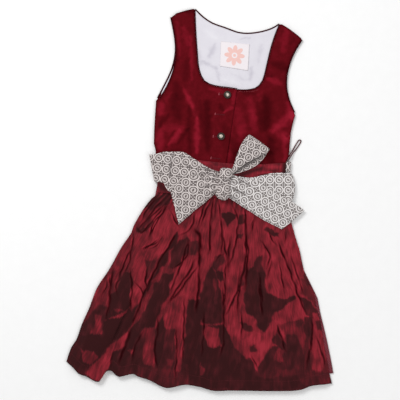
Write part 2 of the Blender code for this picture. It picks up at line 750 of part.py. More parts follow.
def valley(across, down, width):
    """What is left of the folds' rise where the valleys cut it: 1 between them, 0 in them."""
    left_over = 1.0
    for start, middle, end, from_down, to_down, half_width, depth in APRON_VALLEYS:
        share = (down - from_down) / (to_down - from_down)
        fade = ease((share + 0.15) / 0.3) * ease((1.15 - share) / 0.3)
        if fade == 0:
            continue
        share = max(0.0, min(1.0, share))
        away = (across - arc(start, middle, end, share)) * width / half_width
        left_over *= 1 - depth * fade * math.exp(-away * away)
    return left_over


def gather(across, down):
    """The tight gathers under the waistband: every other one runs out sooner."""
    wave = (1 + math.cos(math.tau * GATHERS * across)) / 2
    reach = GATHER_REACH + GATHER_REACH_EXTRA * (1 + math.sin(57 * across + 0.6)) / 2
    fade = (0.6 + 0.4 * ease(down / 0.03)) * ease(1.25 - down / reach)
    uneven = 0.8 + 0.2 * math.sin(31 * across)
    return GATHER_HEIGHT * wave * fade * uneven


def make_apron(skirt_edges):
    """The taffeta apron, gathered into its waistband and lying in long folds."""
    right = through([APRON_TOP[0]] + SKIRT_SIDE_RIGHT[1:], 15)
    left = through([APRON_TOP[-1]] + SKIRT_SIDE_LEFT[1:APRON_EDGE_FROM] + APRON_EDGE_LEFT, 15)
    place_apron = patch(through(APRON_TOP, 20), through(APRON_HEM, 7), right, left)
    columns = GATHERS * 3
    low, high = [], []
    for down in APRON_ROWS:
        width = (place_apron(1, down) - place_apron(0, down)).length
        low_row, high_row = [], []
        for column in range(columns + 1):
            across = column / columns
            place = place_apron(across, down)
            edge = ease(min(across, 1 - across) * width / FOLD_EDGE)
            rise = FOLD_RISE * ease(down / 0.5) * edge * valley(across, down, width)
            z = (
                APRON_Z + lift(place.y) + BACK_GATHER_HEIGHT * back_gather_level(place.y)
                + bulge(place, skirt_edges) + rise + gather(across, down) * edge
            )
            low_row.append((place.x, place.y, z))
            high_row.append((place.x, place.y, z + APRON_WALL))
        low.append(low_row)
        high.append(high_row)
    grid_wall("apron", low, high, "taffeta", smooth=True)


def make_band():
    """The apron's tall waistband, its ends pressed down on to the bodice."""
    top = along(through(BAND_TOP, 10))
    length = BAND_TOP[-1][0] - BAND_TOP[0][0]
    low, high = [], []
    for row in range(BAND_ROWS + 1):
        low_row, high_row = [], []
        for column in range(BAND_COLUMNS + 1):
            place = top(column / BAND_COLUMNS) + Vector((BAND_SLANT, -BAND_HEIGHT)) * row / BAND_ROWS
            from_end = min(column, BAND_COLUMNS - column) / BAND_COLUMNS * length
            z = BAND_Z - BAND_END_DROP * ease(1 - from_end / BAND_END_REACH)
            low_row.append((place.x, place.y, z))
            high_row.append((place.x, place.y, z + BAND_WALL))
        low.append(low_row)
        high.append(high_row)
    grid_wall("apron_waistband", low, high, "taffeta")


def section(row, share):
    """A place across a tie: a smooth arc through its upper edge, middle and lower edge."""
    return arc(Vector(row[0:3]), Vector(row[3:6]), Vector(row[6:9]), share)


def bend_rows(edge, side, bend=BEND, top=TIE_TOP_Z):
    """Sections of a tie that comes from under the garment round its side; side is -1 or 1."""
    rows = []
    for inward, rise in bend:
        row = []
        for x, y in edge:
            row += [x - side * inward, y, rise * top]
        rows.append(tuple(row))
    return rows


def tie(name, rows, outward, step=TIE_STEP, pleated=False):
    """A flat stretch of tie through its sections; its outer face is given, the wall lies inside."""
    middles = [section(row, 0.5) for row in rows]
    counts = [max(1, round((end - start).length / step)) for start, end in zip(middles, middles[1:])]
    lines = [
        through([section(row, column / TIE_COLUMNS) for row in rows], step, counts)
        for column in range(TIE_COLUMNS + 1)
    ]
    outer = [list(row) for row in zip(*lines)]
    count = len(outer)
    if pleated:
        for index, row in enumerate(outer):
            level = ease(1 - index / (count - 1) / PLEAT_REACH)
            for column, point in enumerate(row):
                wave = math.sin(math.pi * TIE_PLEATS * column / TIE_COLUMNS)
                point.z -= PLEAT_HEIGHT * level * wave * wave
    inner = []
    for index, row in enumerate(outer):
        inner_row = []
        for column, point in enumerate(row):
            before, after = outer[max(index - 1, 0)][column], outer[min(index + 1, count - 1)][column]
            first, last = row[max(column - 1, 0)], row[min(column + 1, TIE_COLUMNS)]
            normal = (after - before).cross(last - first).normalized() * outward
            inner_row.append(point - normal * TIE_WALL)
        inner.append(inner_row)
    grid_wall(name, inner, outer, "jacquard", smooth=True)


def make_ties():
    """The jacquard ties: one stretch for each length that shows, and the strip under the back."""
    reach = BEND[0][0] + SEAM_GAP
    strip = [Vector((x + reach, y)) for x, y in WRAP_RIGHT_EDGE]
    strip += [Vector((x - reach, y)) for x, y in reversed(WRAP_LEFT_EDGE)]
    strip += [Vector((x - reach, y - SEAM_GAP)) for x, y in reversed(STUB_EDGE)]
    panel("tie_under_back", strip, lambda place: 0.0, TIE_WALL, "jacquard", 400)
    tie("tie_wrap_right", bend_rows(WRAP_RIGHT_EDGE, -1) + WRAP_RIGHT, -1)
    tie("tie_wrap_left", bend_rows(WRAP_LEFT_EDGE, 1) + WRAP_LEFT, 1)
    tie("tie_stub", bend_rows(STUB_EDGE, 1, BEND[:-1], STUB_TOP_Z) + [STUB_END], 1)
    tie("bow_tail_right", TAIL_RIGHT, 1, pleated=True)
    tie("bow_tail_left", TAIL_LEFT, -1, pleated=True)
    tie("bow_loop", LOOP, 1, step=LOOP_STEP)
    make_knot()


def make_knot():
    """The end wound round the middle of the bow, pinched at its waist."""
    points = []
    for y, left, right, low, high in KNOT:
        for side in range(KNOT_SIDES):
            turn = side * math.tau / KNOT_SIDES
            x = (left + right) / 2 + (right - left) / 2 * math.cos(turn)
            z = (low + high) / 2 + (high - low) / 2 * math.sin(turn)
            points.append((x, y, z))
    faces = []
    for row in range(len(KNOT) - 1):
        for side in range(KNOT_SIDES):
            a = row * KNOT_SIDES + side
            b = row * KNOT_SIDES + (side + 1) % KNOT_SIDES
            faces.append((a, b, b + KNOT_SIDES, a + KNOT_SIDES))
    last = (len(KNOT) - 1) * KNOT_SIDES
    faces.append(tuple(range(KNOT_SIDES)))
    faces.append(tuple(last + side for side in range(KNOT_SIDES)))
    put("bow_knot", points, faces, "jacquard", smooth=True)


def make_hanger():
    """The narrow loop that the dress hangs by, from the waist seam at the wearer's left."""
    cord("hanger_loop", through(HANGER, HANGER_STEP), RIBBON_WIDTH)


def main():
    clear_scene()
    make_bodice()
    make_pipings()
    make_label()
    make_buttons()
    skirt_edges = make_skirt()
    make_apron(skirt_edges)
    make_band()
    make_ties()
    make_hanger()


main()
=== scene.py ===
"""A dirndl laid flat on its back: velvet bodice, gathered skirt, shot taffeta apron, jacquard ties.

The frame is the garment's own: +Y runs from the hem to the neck, +X to the wearer's left,
+Z away from the surface that it lies on. Tables are in millimetres, and meshes in metres.
"""
import math

import bmesh
import bpy
import numpy as np
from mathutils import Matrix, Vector, bvhtree, kdtree


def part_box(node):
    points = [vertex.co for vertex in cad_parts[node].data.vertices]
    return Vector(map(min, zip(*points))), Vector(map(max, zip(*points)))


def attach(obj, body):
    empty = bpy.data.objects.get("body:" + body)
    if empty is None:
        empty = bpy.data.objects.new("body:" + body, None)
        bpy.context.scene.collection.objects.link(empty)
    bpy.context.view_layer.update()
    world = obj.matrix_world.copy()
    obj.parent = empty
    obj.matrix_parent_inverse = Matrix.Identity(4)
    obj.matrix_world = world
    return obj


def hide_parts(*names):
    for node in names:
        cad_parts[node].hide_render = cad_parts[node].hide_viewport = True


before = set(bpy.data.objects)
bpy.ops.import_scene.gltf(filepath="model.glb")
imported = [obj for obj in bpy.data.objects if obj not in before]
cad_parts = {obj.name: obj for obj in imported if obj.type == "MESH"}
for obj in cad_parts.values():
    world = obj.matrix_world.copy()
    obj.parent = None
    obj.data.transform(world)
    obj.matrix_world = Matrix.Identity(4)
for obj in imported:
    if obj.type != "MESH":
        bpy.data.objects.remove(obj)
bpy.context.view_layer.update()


# Ground, light and camera.
# The dress lies face up on a plain pale surface in soft studio light. The camera looks straight
# down on it, turned by the six degrees that the dress lies turned in the picture.
PICTURE_WIDTH = 1.0
CAMERA_DISTANCE = 3.0
SENSOR_WIDTH = 36.0
LAYER_HEIGHT = 0.008
PICTURE_TURN = math.radians(6)
PICTURE_CENTRE = (-0.0436, 0.0024)
GROUND_HALF = 3.0
GROUND_DROP = 0.0006
SKY_STRENGTH = 0.56
# One millimetre in metres, and one metre in millimetres
MM = 0.001
METRE = 1000


def add_object(name, data):
    """A new object in the scene, at the origin."""
    holder = bpy.data.objects.new(name, data)
    bpy.context.scene.collection.objects.link(holder)
    return holder


camera = bpy.data.cameras.new("camera")
camera.sensor_width = SENSOR_WIDTH
camera.lens = SENSOR_WIDTH * CAMERA_DISTANCE / PICTURE_WIDTH
camera_holder = add_object("camera", camera)
camera_holder.location = (*PICTURE_CENTRE, CAMERA_DISTANCE + LAYER_HEIGHT)
camera_holder.rotation_euler = (0, 0, PICTURE_TURN)
bpy.context.scene.camera = camera_holder
bpy.context.scene.view_settings.view_transform = "Standard"


def lamp(name, place, size, watts):
    """A large soft light that faces the middle of the dress."""
    light = bpy.data.lights.new(name, "AREA")
    light.shape = "SQUARE"
    light.size = size
    light.energy = watts
    holder = add_object(name, light)
    holder.location = place
    holder.rotation_euler = (-Vector(place)).to_track_quat("-Z", "Y").to_euler()


lamp("key_light", place=(-1.6, 1.5, 2.2), size=1.1, watts=46)
lamp("fill_light", place=(1.9, -0.6, 2.4), size=1.8, watts=16)

world = bpy.data.worlds.new("studio")
world.use_nodes = True
sky = world.node_tree.nodes["Background"].inputs
sky["Color"].default_value = (1, 1, 1, 1)
sky["Strength"].default_value = SKY_STRENGTH
bpy.context.scene.world = world


class Shade:
    """A socket in a material's tree; sums written on it become Math nodes."""

    def __init__(self, tree, socket=None):
        self.tree = tree
        self.socket = socket

    def feed(self, socket, value):
        if isinstance(value, Shade):
            self.tree.links.new(value.socket, socket)
        else:
            socket.default_value = value

    def make(self, kind, settings=None, inputs=None, output=0):
        """A node: its kind, its settings, then the values or links of its sockets."""
        node = self.tree.nodes.new(kind)
        for name, value in (settings or {}).items():
            if name == "stops":
                ramp = node.color_ramp
                for place, colour in value[1:-1]:
                    ramp.elements.new(place).color = colour
                ramp.elements[0].position, ramp.elements[0].color = value[0]
                ramp.elements[-1].position, ramp.elements[-1].color = value[-1]
            else:
                setattr(node, name, value)
        for name, value in (inputs or {}).items():
            self.feed(node.inputs[name], value)
        return Shade(self.tree, node.outputs[output])

    def math(self, operation, *values):
        return self.make("ShaderNodeMath", {"operation": operation}, dict(enumerate(values)))

    def off_whole(self):
        """How far a value lies from the nearest whole number."""
        return self - self.math("ROUND", self)

    def from_middle(self, other):
        """How far a place lies from the middle, from its two parts."""
        return self.math("SQRT", self * self + other * other)

    def mix(self, first, second):
        """The first colour where this is 0, the second where it is 1."""
        return self.make("ShaderNodeMix", {"data_type": "RGBA"}, {0: self, 6: first, 7: second}, 2)

    def ramp(self, *stops):
        """A colour for each value; a stop is its value and its colour."""
        return self.make("ShaderNodeValToRGB", {"stops": stops}, {0: self})

    def split(self):
        """The X and the Y of a place."""
        ends = self.make("ShaderNodeSeparateXYZ", {}, {0: self}).socket.node.outputs
        return Shade(self.tree, ends["X"]), Shade(self.tree, ends["Y"])

    def step(self, low, high):
        """0 below low, 1 above high, and smooth between them."""
        settings = {"interpolation_type": "SMOOTHSTEP"}
        return self.make("ShaderNodeMapRange", settings, {0: self, 1: low, 2: high})

    def between(self, low, high, soft):
        """1 between two values, 0 outside them."""
        return self.step(low - soft, low + soft) * (1 - self.step(high - soft, high + soft))

    def __add__(self, other):
        return self.math("ADD", self, other)

    def __sub__(self, other):
        return self.math("SUBTRACT", self, other)

    def __rsub__(self, other):
        return self.math("SUBTRACT", other, self)

    def __mul__(self, other):
        return self.math("MULTIPLY", self, other)

    def __truediv__(self, other):
        return self.math("DIVIDE", self, other)

    def __abs__(self):
        return self.math("ABSOLUTE", self)

    __radd__ = __add__
    __rmul__ = __mul__

    def noise(self, place, scale, detail=2.0, roughness=0.5):
        inputs = {"Vector": place, "Scale": scale, "Detail": detail, "Roughness": roughness}
        return self.make("ShaderNodeTexNoise", {}, inputs, "Fac")

    def attribute(self, name):
        return self.make("ShaderNodeAttribute", {"attribute_name": name}, {}, "Fac")

    def bump(self, height, distance, strength=1.0):
        inputs = {"Height": height, "Distance": distance, "Strength": strength}
        return self.make("ShaderNodeBump", {}, inputs)


def srgb(red, green, blue):
    """A colour as it looks on a screen, in the linear values that a shader takes."""
    def linear(value):
        value /= 255
        return value / 12.92 if value <= 0.04045 else ((value + 0.055) / 1.055) ** 2.4
    return (linear(red), linear(green), linear(blue), 1)


def new_material(name, **constants):
    """A material, its Principled sockets by name, and a Shade to make its nodes with."""
    made = bpy.data.materials.new(name)
    made.use_nodes = True
    sockets = made.node_tree.nodes["Principled BSDF"].inputs
    for socket, value in constants.items():
        sockets[socket.replace("_", " ")].default_value = value
    shade = Shade(made.node_tree)
    place = shade.make("ShaderNodeTexCoord", output="Object")
    return made, sockets, shade, place


def mesh_piece(name, points, faces, finish):
    """A piece from points in millimetres and its faces."""
    mesh = bpy.data.meshes.new(name)
    mesh.from_pydata((np.asarray(points) * MM).tolist(), [], faces)
    mesh.shade_smooth()
    mesh.materials.append(finish)
    return add_object(name, mesh)


def ground_material():
    made, sockets, shade, place = new_material("ground", Roughness=0.9)
    grain = shade.noise(place, 40, 4)
    shade.feed(sockets["Base Color"], grain.ramp((0.3, srgb(251, 251, 251)), (0.7, srgb(253, 253, 253))))
    return made


half, low = GROUND_HALF * METRE, -GROUND_DROP * METRE
corners = [(-half, -half, low), (half, -half, low), (half, half, low), (-half, half, low)]
ground = mesh_piece("ground", corners, [(0, 1, 2, 3)], ground_material())


# Back and lining of the bodice.
# The back is cut in dark wine red velvet and lined with white cotton, which shows inside the neck
# and as a thin line in the wearer's right armhole. Back and fronts meet in the side seams.

# Wrinkles of the lining, which also paint soft grey shade where they sink and lighter tone where they rise.
# Columns: x1, y1, x2, y2, half width, height
LINING_WRINKLES_AND_SHADE = [
    (-47, 394, -57, 362, 8.5, -0.8),
    (-71, 346, -41, 335, 6, -0.8),
    (-36, 333, -26, 304, 6, -0.7),
    (50, 346, 50, 316, 7.5, -0.7),
    (14, 416, 41, 418, 3, -0.7),
    (-85, 375, -77, 341, 6, -0.5),
    (70, 404, 65, 361, 8, -0.5),
    (3, 324, 42, 313, 5, -0.4),
    (-76, 426, -46, 409, 6, 0.4),
    (-13, 307, 26, 301, 5, 0.4),
]
# Painted lit and dark sheen patches of the back's velvet, in the same columns
BACK_NAP_SHEEN = [
    (-120, 380, -96, 300, 14, 0.6),
    (40, 400, 62, 330, 16, 0.5),
    (-20, 300, -34, 200, 15, -0.6),
    (90, 280, 112, 190, 14, -0.6),
    (-110, 230, -130, 150, 13, 0.6),
    (20, 180, 44, 90, 16, 0.5),
    (-70, 140, -40, 50, 14, -0.5),
    (120, 130, 104, 50, 13, 0.6),
]
# Points of a solid that lie closer than this, in metres, are one point.
MERGE_WITHIN = 2e-5
# A face or a point that faces up or down less than this is on the rim of its sheet.
RIM_FACE = 0.6
RIM_POINT = 0.9
ROOT = "root"


def ease(value):
    """0 up to 1 with a level start and end."""
    value = np.clip(value, 0.0, 1.0)
    return value * value * (3 - 2 * value)


def wander(x, y, size):
    """A slow, even wandering between about -1 and 1."""
    x, y = x / size, y / size
    return (
        np.sin(1.7 * x + 0.9 * y + 0.4) + np.sin(-1.1 * x + 2.3 * y + 2.1)
        + np.sin(3.1 * x - 1.3 * y + 4.2) + np.sin(0.7 * x + 3.7 * y + 1.1)
    ) / 3


def beside_run(x, y, x1, y1, x2, y2):
    """How far along a straight run places lie, 0 to 1, and how far away from it."""
    run_x, run_y = x2 - x1, y2 - y1
    share = np.clip(((x - x1) * run_x + (y - y1) * run_y) / (run_x ** 2 + run_y ** 2), 0, 1)
    return share, np.hypot(x - x1 - share * run_x, y - y1 - share * run_y)


def streaks(x, y, table, sharp, stray):
    """The streaks of a table at many places, each thinning out towards its ends."""
    x, y = x + stray * wander(x, y, 9.0), y + stray * wander(y, x, 11.0)
    total = np.zeros_like(x)
    for *run, half_width, rise in table:
        share, away = beside_run(x, y, *run)
        width = half_width * (1 - 0.35 * np.abs(2 * share - 1))
        total += rise * np.exp(-(away / width) ** sharp)
    return total


def open_solid(node):
    """The faces of a node's solid, joined at their points."""
    shape = bmesh.new()
    shape.from_mesh(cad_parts[node].data)
    bmesh.ops.remove_doubles(shape, verts=shape.verts, dist=MERGE_WITHIN)
    return shape


def close_shape(shape, name, finish):
    """A piece of its own from a shape that is done."""
    mesh = bpy.data.meshes.new(name)
    shape.to_mesh(mesh)
    shape.free()
    mesh.shade_smooth()
    mesh.materials.append(finish)
    return add_object(name, mesh)


def finer_copy(node, name, finish, cell, rounds):
    """A copy of a cut piece with small faces, its facets eased in height; the outline stays."""
    shape = open_solid(node)
    for _ in range(6):
        long_edges = [edge for edge in shape.edges if edge.calc_length() > cell * MM]
        if not long_edges:
            break
        bmesh.ops.subdivide_edges(shape, edges=long_edges, cuts=1)
        bmesh.ops.triangulate(shape, faces=[face for face in shape.faces if len(face.verts) > 3])
    bmesh.ops.recalc_face_normals(shape, faces=shape.faces)
    inner = [
        point for point in shape.verts
        if all(abs(face.normal.z) > RIM_FACE for face in point.link_faces)
    ]
    for _ in range(rounds):
        bmesh.ops.smooth_vert(shape, verts=inner, factor=0.5, use_axis_z=True)
    return close_shape(shape, name, finish)


def places(piece):
    """The x, y and z of a piece's points, in millimetres."""
    values = np.empty(len(piece.data.vertices) * 3)
    piece.data.vertices.foreach_get("co", values)
    return (values.reshape(-1, 3) * METRE).T


def move_points(piece, x, y, z):
    """Puts a piece's points at new places, in millimetres."""
    piece.data.vertices.foreach_set("co", (np.stack([x, y, z], -1) * MM).ravel())
    piece.data.update()


def facing(piece):
    """How far each point of a piece faces up, 1, or down, -1."""
    values = np.empty(len(piece.data.vertices) * 3)
    piece.data.vertices.foreach_get("normal", values)
    return values.reshape(-1, 3)[:, 2]


def from_rim(piece):
    """How far each point of a wall lies from the wall's edge."""
    x, y, z = places(piece)
    rim = np.nonzero(np.abs(facing(piece)) < RIM_POINT)[0]
    tree = kdtree.KDTree(len(rim))
    for number, index in enumerate(rim):
        tree.insert((x[index], y[index], 0), number)
    tree.balance()
    return np.array([tree.find((a, b, 0))[2] for a, b in zip(x, y)])


def raise_points(piece, rise, edge_reach=12.0):
    """Moves a wall's points up or down, less towards its edge; its underside follows a rise only."""
    x, y, z = places(piece)
    up = facing(piece)
    rise = rise * ease(from_rim(piece) / edge_reach)
    rise = np.where(up < 0, np.maximum(rise, 0), rise)
    rise[np.abs(up) < RIM_POINT] = 0
    move_points(piece, x, y, z + rise)


def mark(piece, name, values):
    """A number on each point of a piece, which its material reads.

    Numbers for one row or one face of a wall hold for the rest too, and one number for all.
    """
    layer = piece.data.attributes.get(name) or piece.data.attributes.new(name, "FLOAT", "POINT")
    layer.data.foreach_set("value", np.resize(values, len(piece.data.vertices)).astype(np.float32))


def finish_piece(piece, node):
    """Puts a piece on the root, and hides the part that it stands for."""
    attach(piece, ROOT)
    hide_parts(node)


def finish_cloth(piece, node):
    """Does the same for a piece of cloth."""
    finish_piece(piece, node)


def velvet_material():
    made, sockets, shade, place = new_material(
        "velvet", Roughness=0.9, Specular_IOR_Level=0.04,
        Sheen_Weight=0.12, Sheen_Roughness=0.3, Sheen_Tint=srgb(190, 30, 50),
    )
    pile = shade.noise(place, 800, 2)
    brushed = shade.noise(place, 85, 4, 0.6)
    # The nap attribute paints lit and dark sheen patches; pile and brushing vary the tone at random.
    tone = shade.attribute("nap") * 0.43 + 0.46 + (brushed - 0.5) * 0.36 + (pile - 0.5) * 0.26
    colour = tone.ramp(
        (0.0, srgb(62, 4, 9)), (0.45, srgb(92, 10, 19)), (0.75, srgb(124, 18, 33)), (1.0, srgb(150, 28, 46)),
    )
    shade.feed(sockets["Base Color"], colour)
    shade.feed(sockets["Normal"], shade.bump(pile + brushed * 2, 0.0006, 0.6))
    return made


def lining_material():
    made, sockets, shade, place = new_material(
        "lining", Roughness=0.85, Specular_IOR_Level=0.25, Sheen_Weight=0.1,
    )
    threads = shade.noise(place, 900, 2)
    soft = shade.noise(place, 30, 3)
    # Painted soft grey shade in the lining's wrinkles, lighter on their crests, from their attribute; the
    # soft noise varies the tone at random.
    tone = 0.62 + shade.attribute("wrinkle") * 0.5 + (soft - 0.5) * 0.5 + (threads - 0.5) * 0.15
    colour = tone.ramp((0.0, srgb(188, 184, 196)), (0.5, srgb(220, 217, 225)), (1.0, srgb(232, 230, 236)))
    shade.feed(sockets["Base Color"], colour)
    shade.feed(sockets["Normal"], shade.bump(threads, 0.0003, 0.5))
    return made


velvet = velvet_material()
lining = lining_material()

back = finer_copy("bodice_back", "back_velvet", velvet, cell=9, rounds=2)
x, y, z = places(back)
# Painted lit and dark sheen patches of the nap.
mark(back, "nap", streaks(x, y, BACK_NAP_SHEEN, sharp=3, stray=2))
finish_cloth(
    back, "bodice_back")

inside_back = finer_copy("back_lining", "back_lining_cotton", lining, cell=6, rounds=0)
x, y, z = places(inside_back)
wrinkles_and_shade = streaks(x, y, LINING_WRINKLES_AND_SHADE, sharp=2, stray=2)
# The wrinkles paint shade into the lining's colour and also raise its points.
mark(inside_back, "wrinkle", wrinkles_and_shade)
raise_points(inside_back, 0.45 * wrinkles_and_shade, edge_reach=8)
# In the wearer's right armhole it is cut back from the piping, and it ends under the front.
x, y, z = places(inside_back)
cut_back = (0.5 + 3.4 * ease((266 - y) / 24)) * ease((-105 - x) / 25)
x = x + cut_back * (1 - ease(from_rim(inside_back) / 30))
move_points(inside_back, x, y, z)
finish_cloth(
    inside_back, "back_lining")


# Fronts of the bodice.
# Two velvet fronts, the wearer's right one closing over the left one. They round up over their
# fullness, and painted lit and dark patches stand for the sheen of nap that lies this way and that.

# Painted sheen patches of the nap. Columns: x1, y1, x2, y2, half width, tone; 1 is lit, -1 is dark
FRONT_NAP_SHEEN = [
    (-102, 260, -72, 206, 7, 0.25),
    (-72, 206, -64, 122, 7.5, 0.8),
    (120, 194, 165, 242, 12, 0.85),
    (136, 185, 167, 176, 12, 0.5),
    (166, 225, 170, 151, 7, 0.5),
    (150, 190, 159, 123, 9, 0.5),
    (28, 236, 40, 175, 13, 0.35),
    (61, 235, 73, 189, 9, 0.4),
    (-157, 172, -108, 177, 12, 0.35),
    (-7, 227, 13, 242, 5, 0.6),
    (10, 152, 21, 121, 10, 0.25),
    (-113, 274, -86, 230, 7.5, 0.6),
    (-162, 162, -155, 121, 11.2, 0.6),
    (-111, 167, -136, 133, 8.5, 0.75),
    (-164, 231, -164, 206, 10, 0.6),
    (55, 264, 72, 221, 12.5, 0.4),
    (45, 193, 43, 162, 12.5, 0.35),
    (152, 267, 167, 231, 11.2, 0.7),
    (14, 282, 13, 252, 6.5, 0.5),
    (82, 290, 77, 264, 7.5, 0.3),
    (-128, 426, -115, 387, 10, 0.4),
    (-148, 441, -132, 358, 5.5, 0.3),
    (126, 450, 124, 395, 10, 0.4),
    (94, 323, 125, 314, 8.8, 0.6),
    (-109, 408, -95, 299, 5, 0.5),
    (-48, 283, -4, 275, 6.5, 0.4),
    (-144, 263, -154, 240, 5.5, 0.3),
    (63, 139, 55, 113, 10, 0.25),
    (-33, 210, -29, 130, 7.5, 0.2),
    (95, 272, 101, 200, 17, -0.85),
    (116, 172, 122, 119, 15, -0.8),
    (-52, 245, -36, 132, 14, -0.75),
    (-95, 232, -82, 118, 7, -0.6),
    (-134, 252, -120, 205, 17.5, -0.6),
    (-144, 207, -165, 176, 6, -0.6),
    (-90, 179, -113, 136, 4.5, -0.6),
    (-126, 167, -142, 125, 4, -0.5),
    (-1, 193, 13, 134, 12.5, -0.4),
    (-19, 244, -10, 232, 6, -0.6),
    (35, 281, 65, 280, 5.5, -0.5),
    (-134, 285, -120, 253, 12.5, -0.5),
    (141, 351, 102, 362, 11.2, -0.6),
    (73, 258, 89, 190, 6, -0.4),
    (-132, 466, -110, 470, 6.5, -0.6),
    (-70, 251, -62, 202, 5, -0.4),
    (139, 414, 148, 430, 6, -0.4),
    (-112, 347, -112, 297, 10, -0.4),
    (-126, 119, -106, 121, 5, -0.3),
    (20, 160, 35, 116, 10, -0.3),
]
# Small creases. Columns: x1, y1, x2, y2, half width, height
FRONT_CREASES = [
    (-111, 170, -138, 121, 3.5, 0.9),
    (-123, 185, -166, 140, 3.5, 0.8),
    (-28, 222, -1, 241, 3.0, 0.8),
    (-60, 238, -40, 140, 5.0, -0.7),
    (-95, 248, -75, 208, 5.0, 0.7),
    (-75, 208, -62, 108, 5.0, 0.8),
    (104, 224, 116, 203, 4.0, -0.8),
    (116, 203, 155, 124, 4.0, -0.8),
    (112, 198, 153, 237, 4.0, 0.8),
    (-106, 405, -97, 300, 4.0, 0.5),
    (94, 323, 128, 312, 5.0, 0.6),
    (60, 190, 44, 130, 6.0, -0.5),
]
# Where the right front closes over the left one, and how far in from an edge the painted shade of its
# rolled-under rim reaches
CLOSING_X = 17.5
ROLLED_EDGE_SHADE = 6

right_front = finer_copy("bodice_front_right", "right_front_velvet", velvet, cell=4.5, rounds=14)
left_front = finer_copy("bodice_front_left", "left_front_velvet", velvet, cell=4.5, rounds=14)
for front, node, flat, area in [
    (right_front, "bodice_front_right", (0.22, 0.48), 0.062),
    (left_front, "bodice_front_left", (0.22, 0.45), 0.065),
]:
    x, y, z = places(front)
    creases = streaks(x, y, FRONT_CREASES, sharp=2, stray=1.5)
    raise_points(front, creases + 0.25 * wander(x, y, 14))
    # Painted lit and dark sheen patches of the nap.
    nap = 1.1 * streaks(x, y, FRONT_NAP_SHEEN, sharp=3, stray=2.5)
    # Painted shade darkens the velvet where the cloth rolls under, but not at the closing edge, which lies
    # flat and close.
    closing = ease((x + 12) / 10) * ease((292 - y) / 8) * ease((34 - x) / 10)
    nap = nap - 0.75 * ease(1 - from_rim(front) / ROLLED_EDGE_SHADE) * (1 - closing)
    # A painted highlight lightens the left front just beside that edge.
    if front is left_front:
        nap = nap + 0.4 * closing * np.exp(-(((x - CLOSING_X) / 2.4) ** 2))
    mark(front, "nap", nap)
    finish_cloth(front, node)


# Pipings.
# A bias-cut satin strip, almost black, folded over a thin cord and sewn round the neck and both
# armholes.

# How much fuller each one is than its solid, in millimetres
PIPINGS = {
    "neck_piping_back": 0.85, "neck_piping_front_right": 0.05, "neck_piping_front_left": 0.05,
    "armhole_piping_front_right": 0.15, "armhole_piping_front_left": 0.0,
    "armhole_piping_back_right": 0.7, "armhole_piping_back_left": 0.1,
}


def grained_material(name, grain, dark, light, depth, strength, **constants):
    """A material whose fine grain runs from one colour stop to the other, and is its bump too."""
    made, sockets, shade, place = new_material(name, **constants)
    threads = shade.noise(place, grain, 2)
    shade.feed(sockets["Base Color"], threads.ramp(dark, light))
    shade.feed(sockets["Normal"], shade.bump(threads, depth, strength))
    return made


def round_copy(node, name, finish, fuller):
    """A smooth copy of a cord's solid, a little fuller but no lower than the ground."""
    shape = open_solid(node)
    bmesh.ops.recalc_face_normals(shape, faces=shape.faces)
    shape.normal_update()
    for point in shape.verts:
        point.co += point.normal * fuller * MM
        point.co.z = max(point.co.z, 0.0)
    return close_shape(shape, name, finish)


satin = grained_material(
    "satin", 500, (0.3, srgb(42, 6, 12)), (0.7, srgb(68, 12, 22)), 0.0004, 0.5,
    Roughness=0.55, Specular_IOR_Level=0.06, Specular_Tint=srgb(190, 60, 80))
for node, fuller in PIPINGS.items():
    finish_piece(round_copy(node, node + "_satin", satin, fuller), node)


# Label.
# A white woven label, sewn flat to the lining below the back neck. Its woven motif is a plain
# rosette of eight petals in pale salmon.
LABEL_CORNERS = [(-33, 403), (39, 403), (42, 337), (-29, 341)]
LABEL_LOW = 3.0
LABEL_WALL = 1.0
LABEL_COLUMNS = 36
LABEL_ROWS = 32
ROSETTE_CENTRE = (0.0045, 0.3715)
ROSETTE_RADIUS = 0.027
ROSETTE_PETALS = 8


def map_cloth(piece, flat):
    """Where each point of a piece lies in its flat cloth: across it and along it, in millimetres."""
    corners = np.empty(len(piece.data.loops), dtype=np.int32)
    piece.data.loops.foreach_get("vertex_index", corners)
    layer = piece.data.uv_layers.new(name="cloth")
    layer.data.foreach_set("uv", flat[corners].astype(np.float32).ravel())


def wall(name, low, high, finish, flat):
    """A closed wall between two grids of points, its faces turned outwards."""
    rows, columns = low.shape[:2]
    count = rows * columns
    index = np.arange(count).reshape(rows, columns)
    a, b, c, d = index[:-1, :-1], index[:-1, 1:], index[1:, 1:], index[1:, :-1]
    upper = np.stack([a, b, c, d], -1).reshape(-1, 4) + count
    lower = np.stack([d, c, b, a], -1).reshape(-1, 4)
    border = np.concatenate([index[0, :], index[1:, -1], index[-1, -2::-1], index[-2:0:-1, 0]])
    after = np.roll(border, -1)
    sides = np.stack([border, after, after + count, border + count], -1)
    faces = np.concatenate([lower, upper, sides]).tolist()
    points = np.concatenate([low.reshape(-1, 3), high.reshape(-1, 3)])
    piece = mesh_piece(name, points, faces, finish)
    map_cloth(piece, np.concatenate([flat.reshape(-1, 2)] * 2))
    shape = bmesh.new()
    shape.from_mesh(piece.data)
    bmesh.ops.recalc_face_normals(shape, faces=shape.faces)
    shape.to_mesh(piece.data)
    shape.free()
    return piece


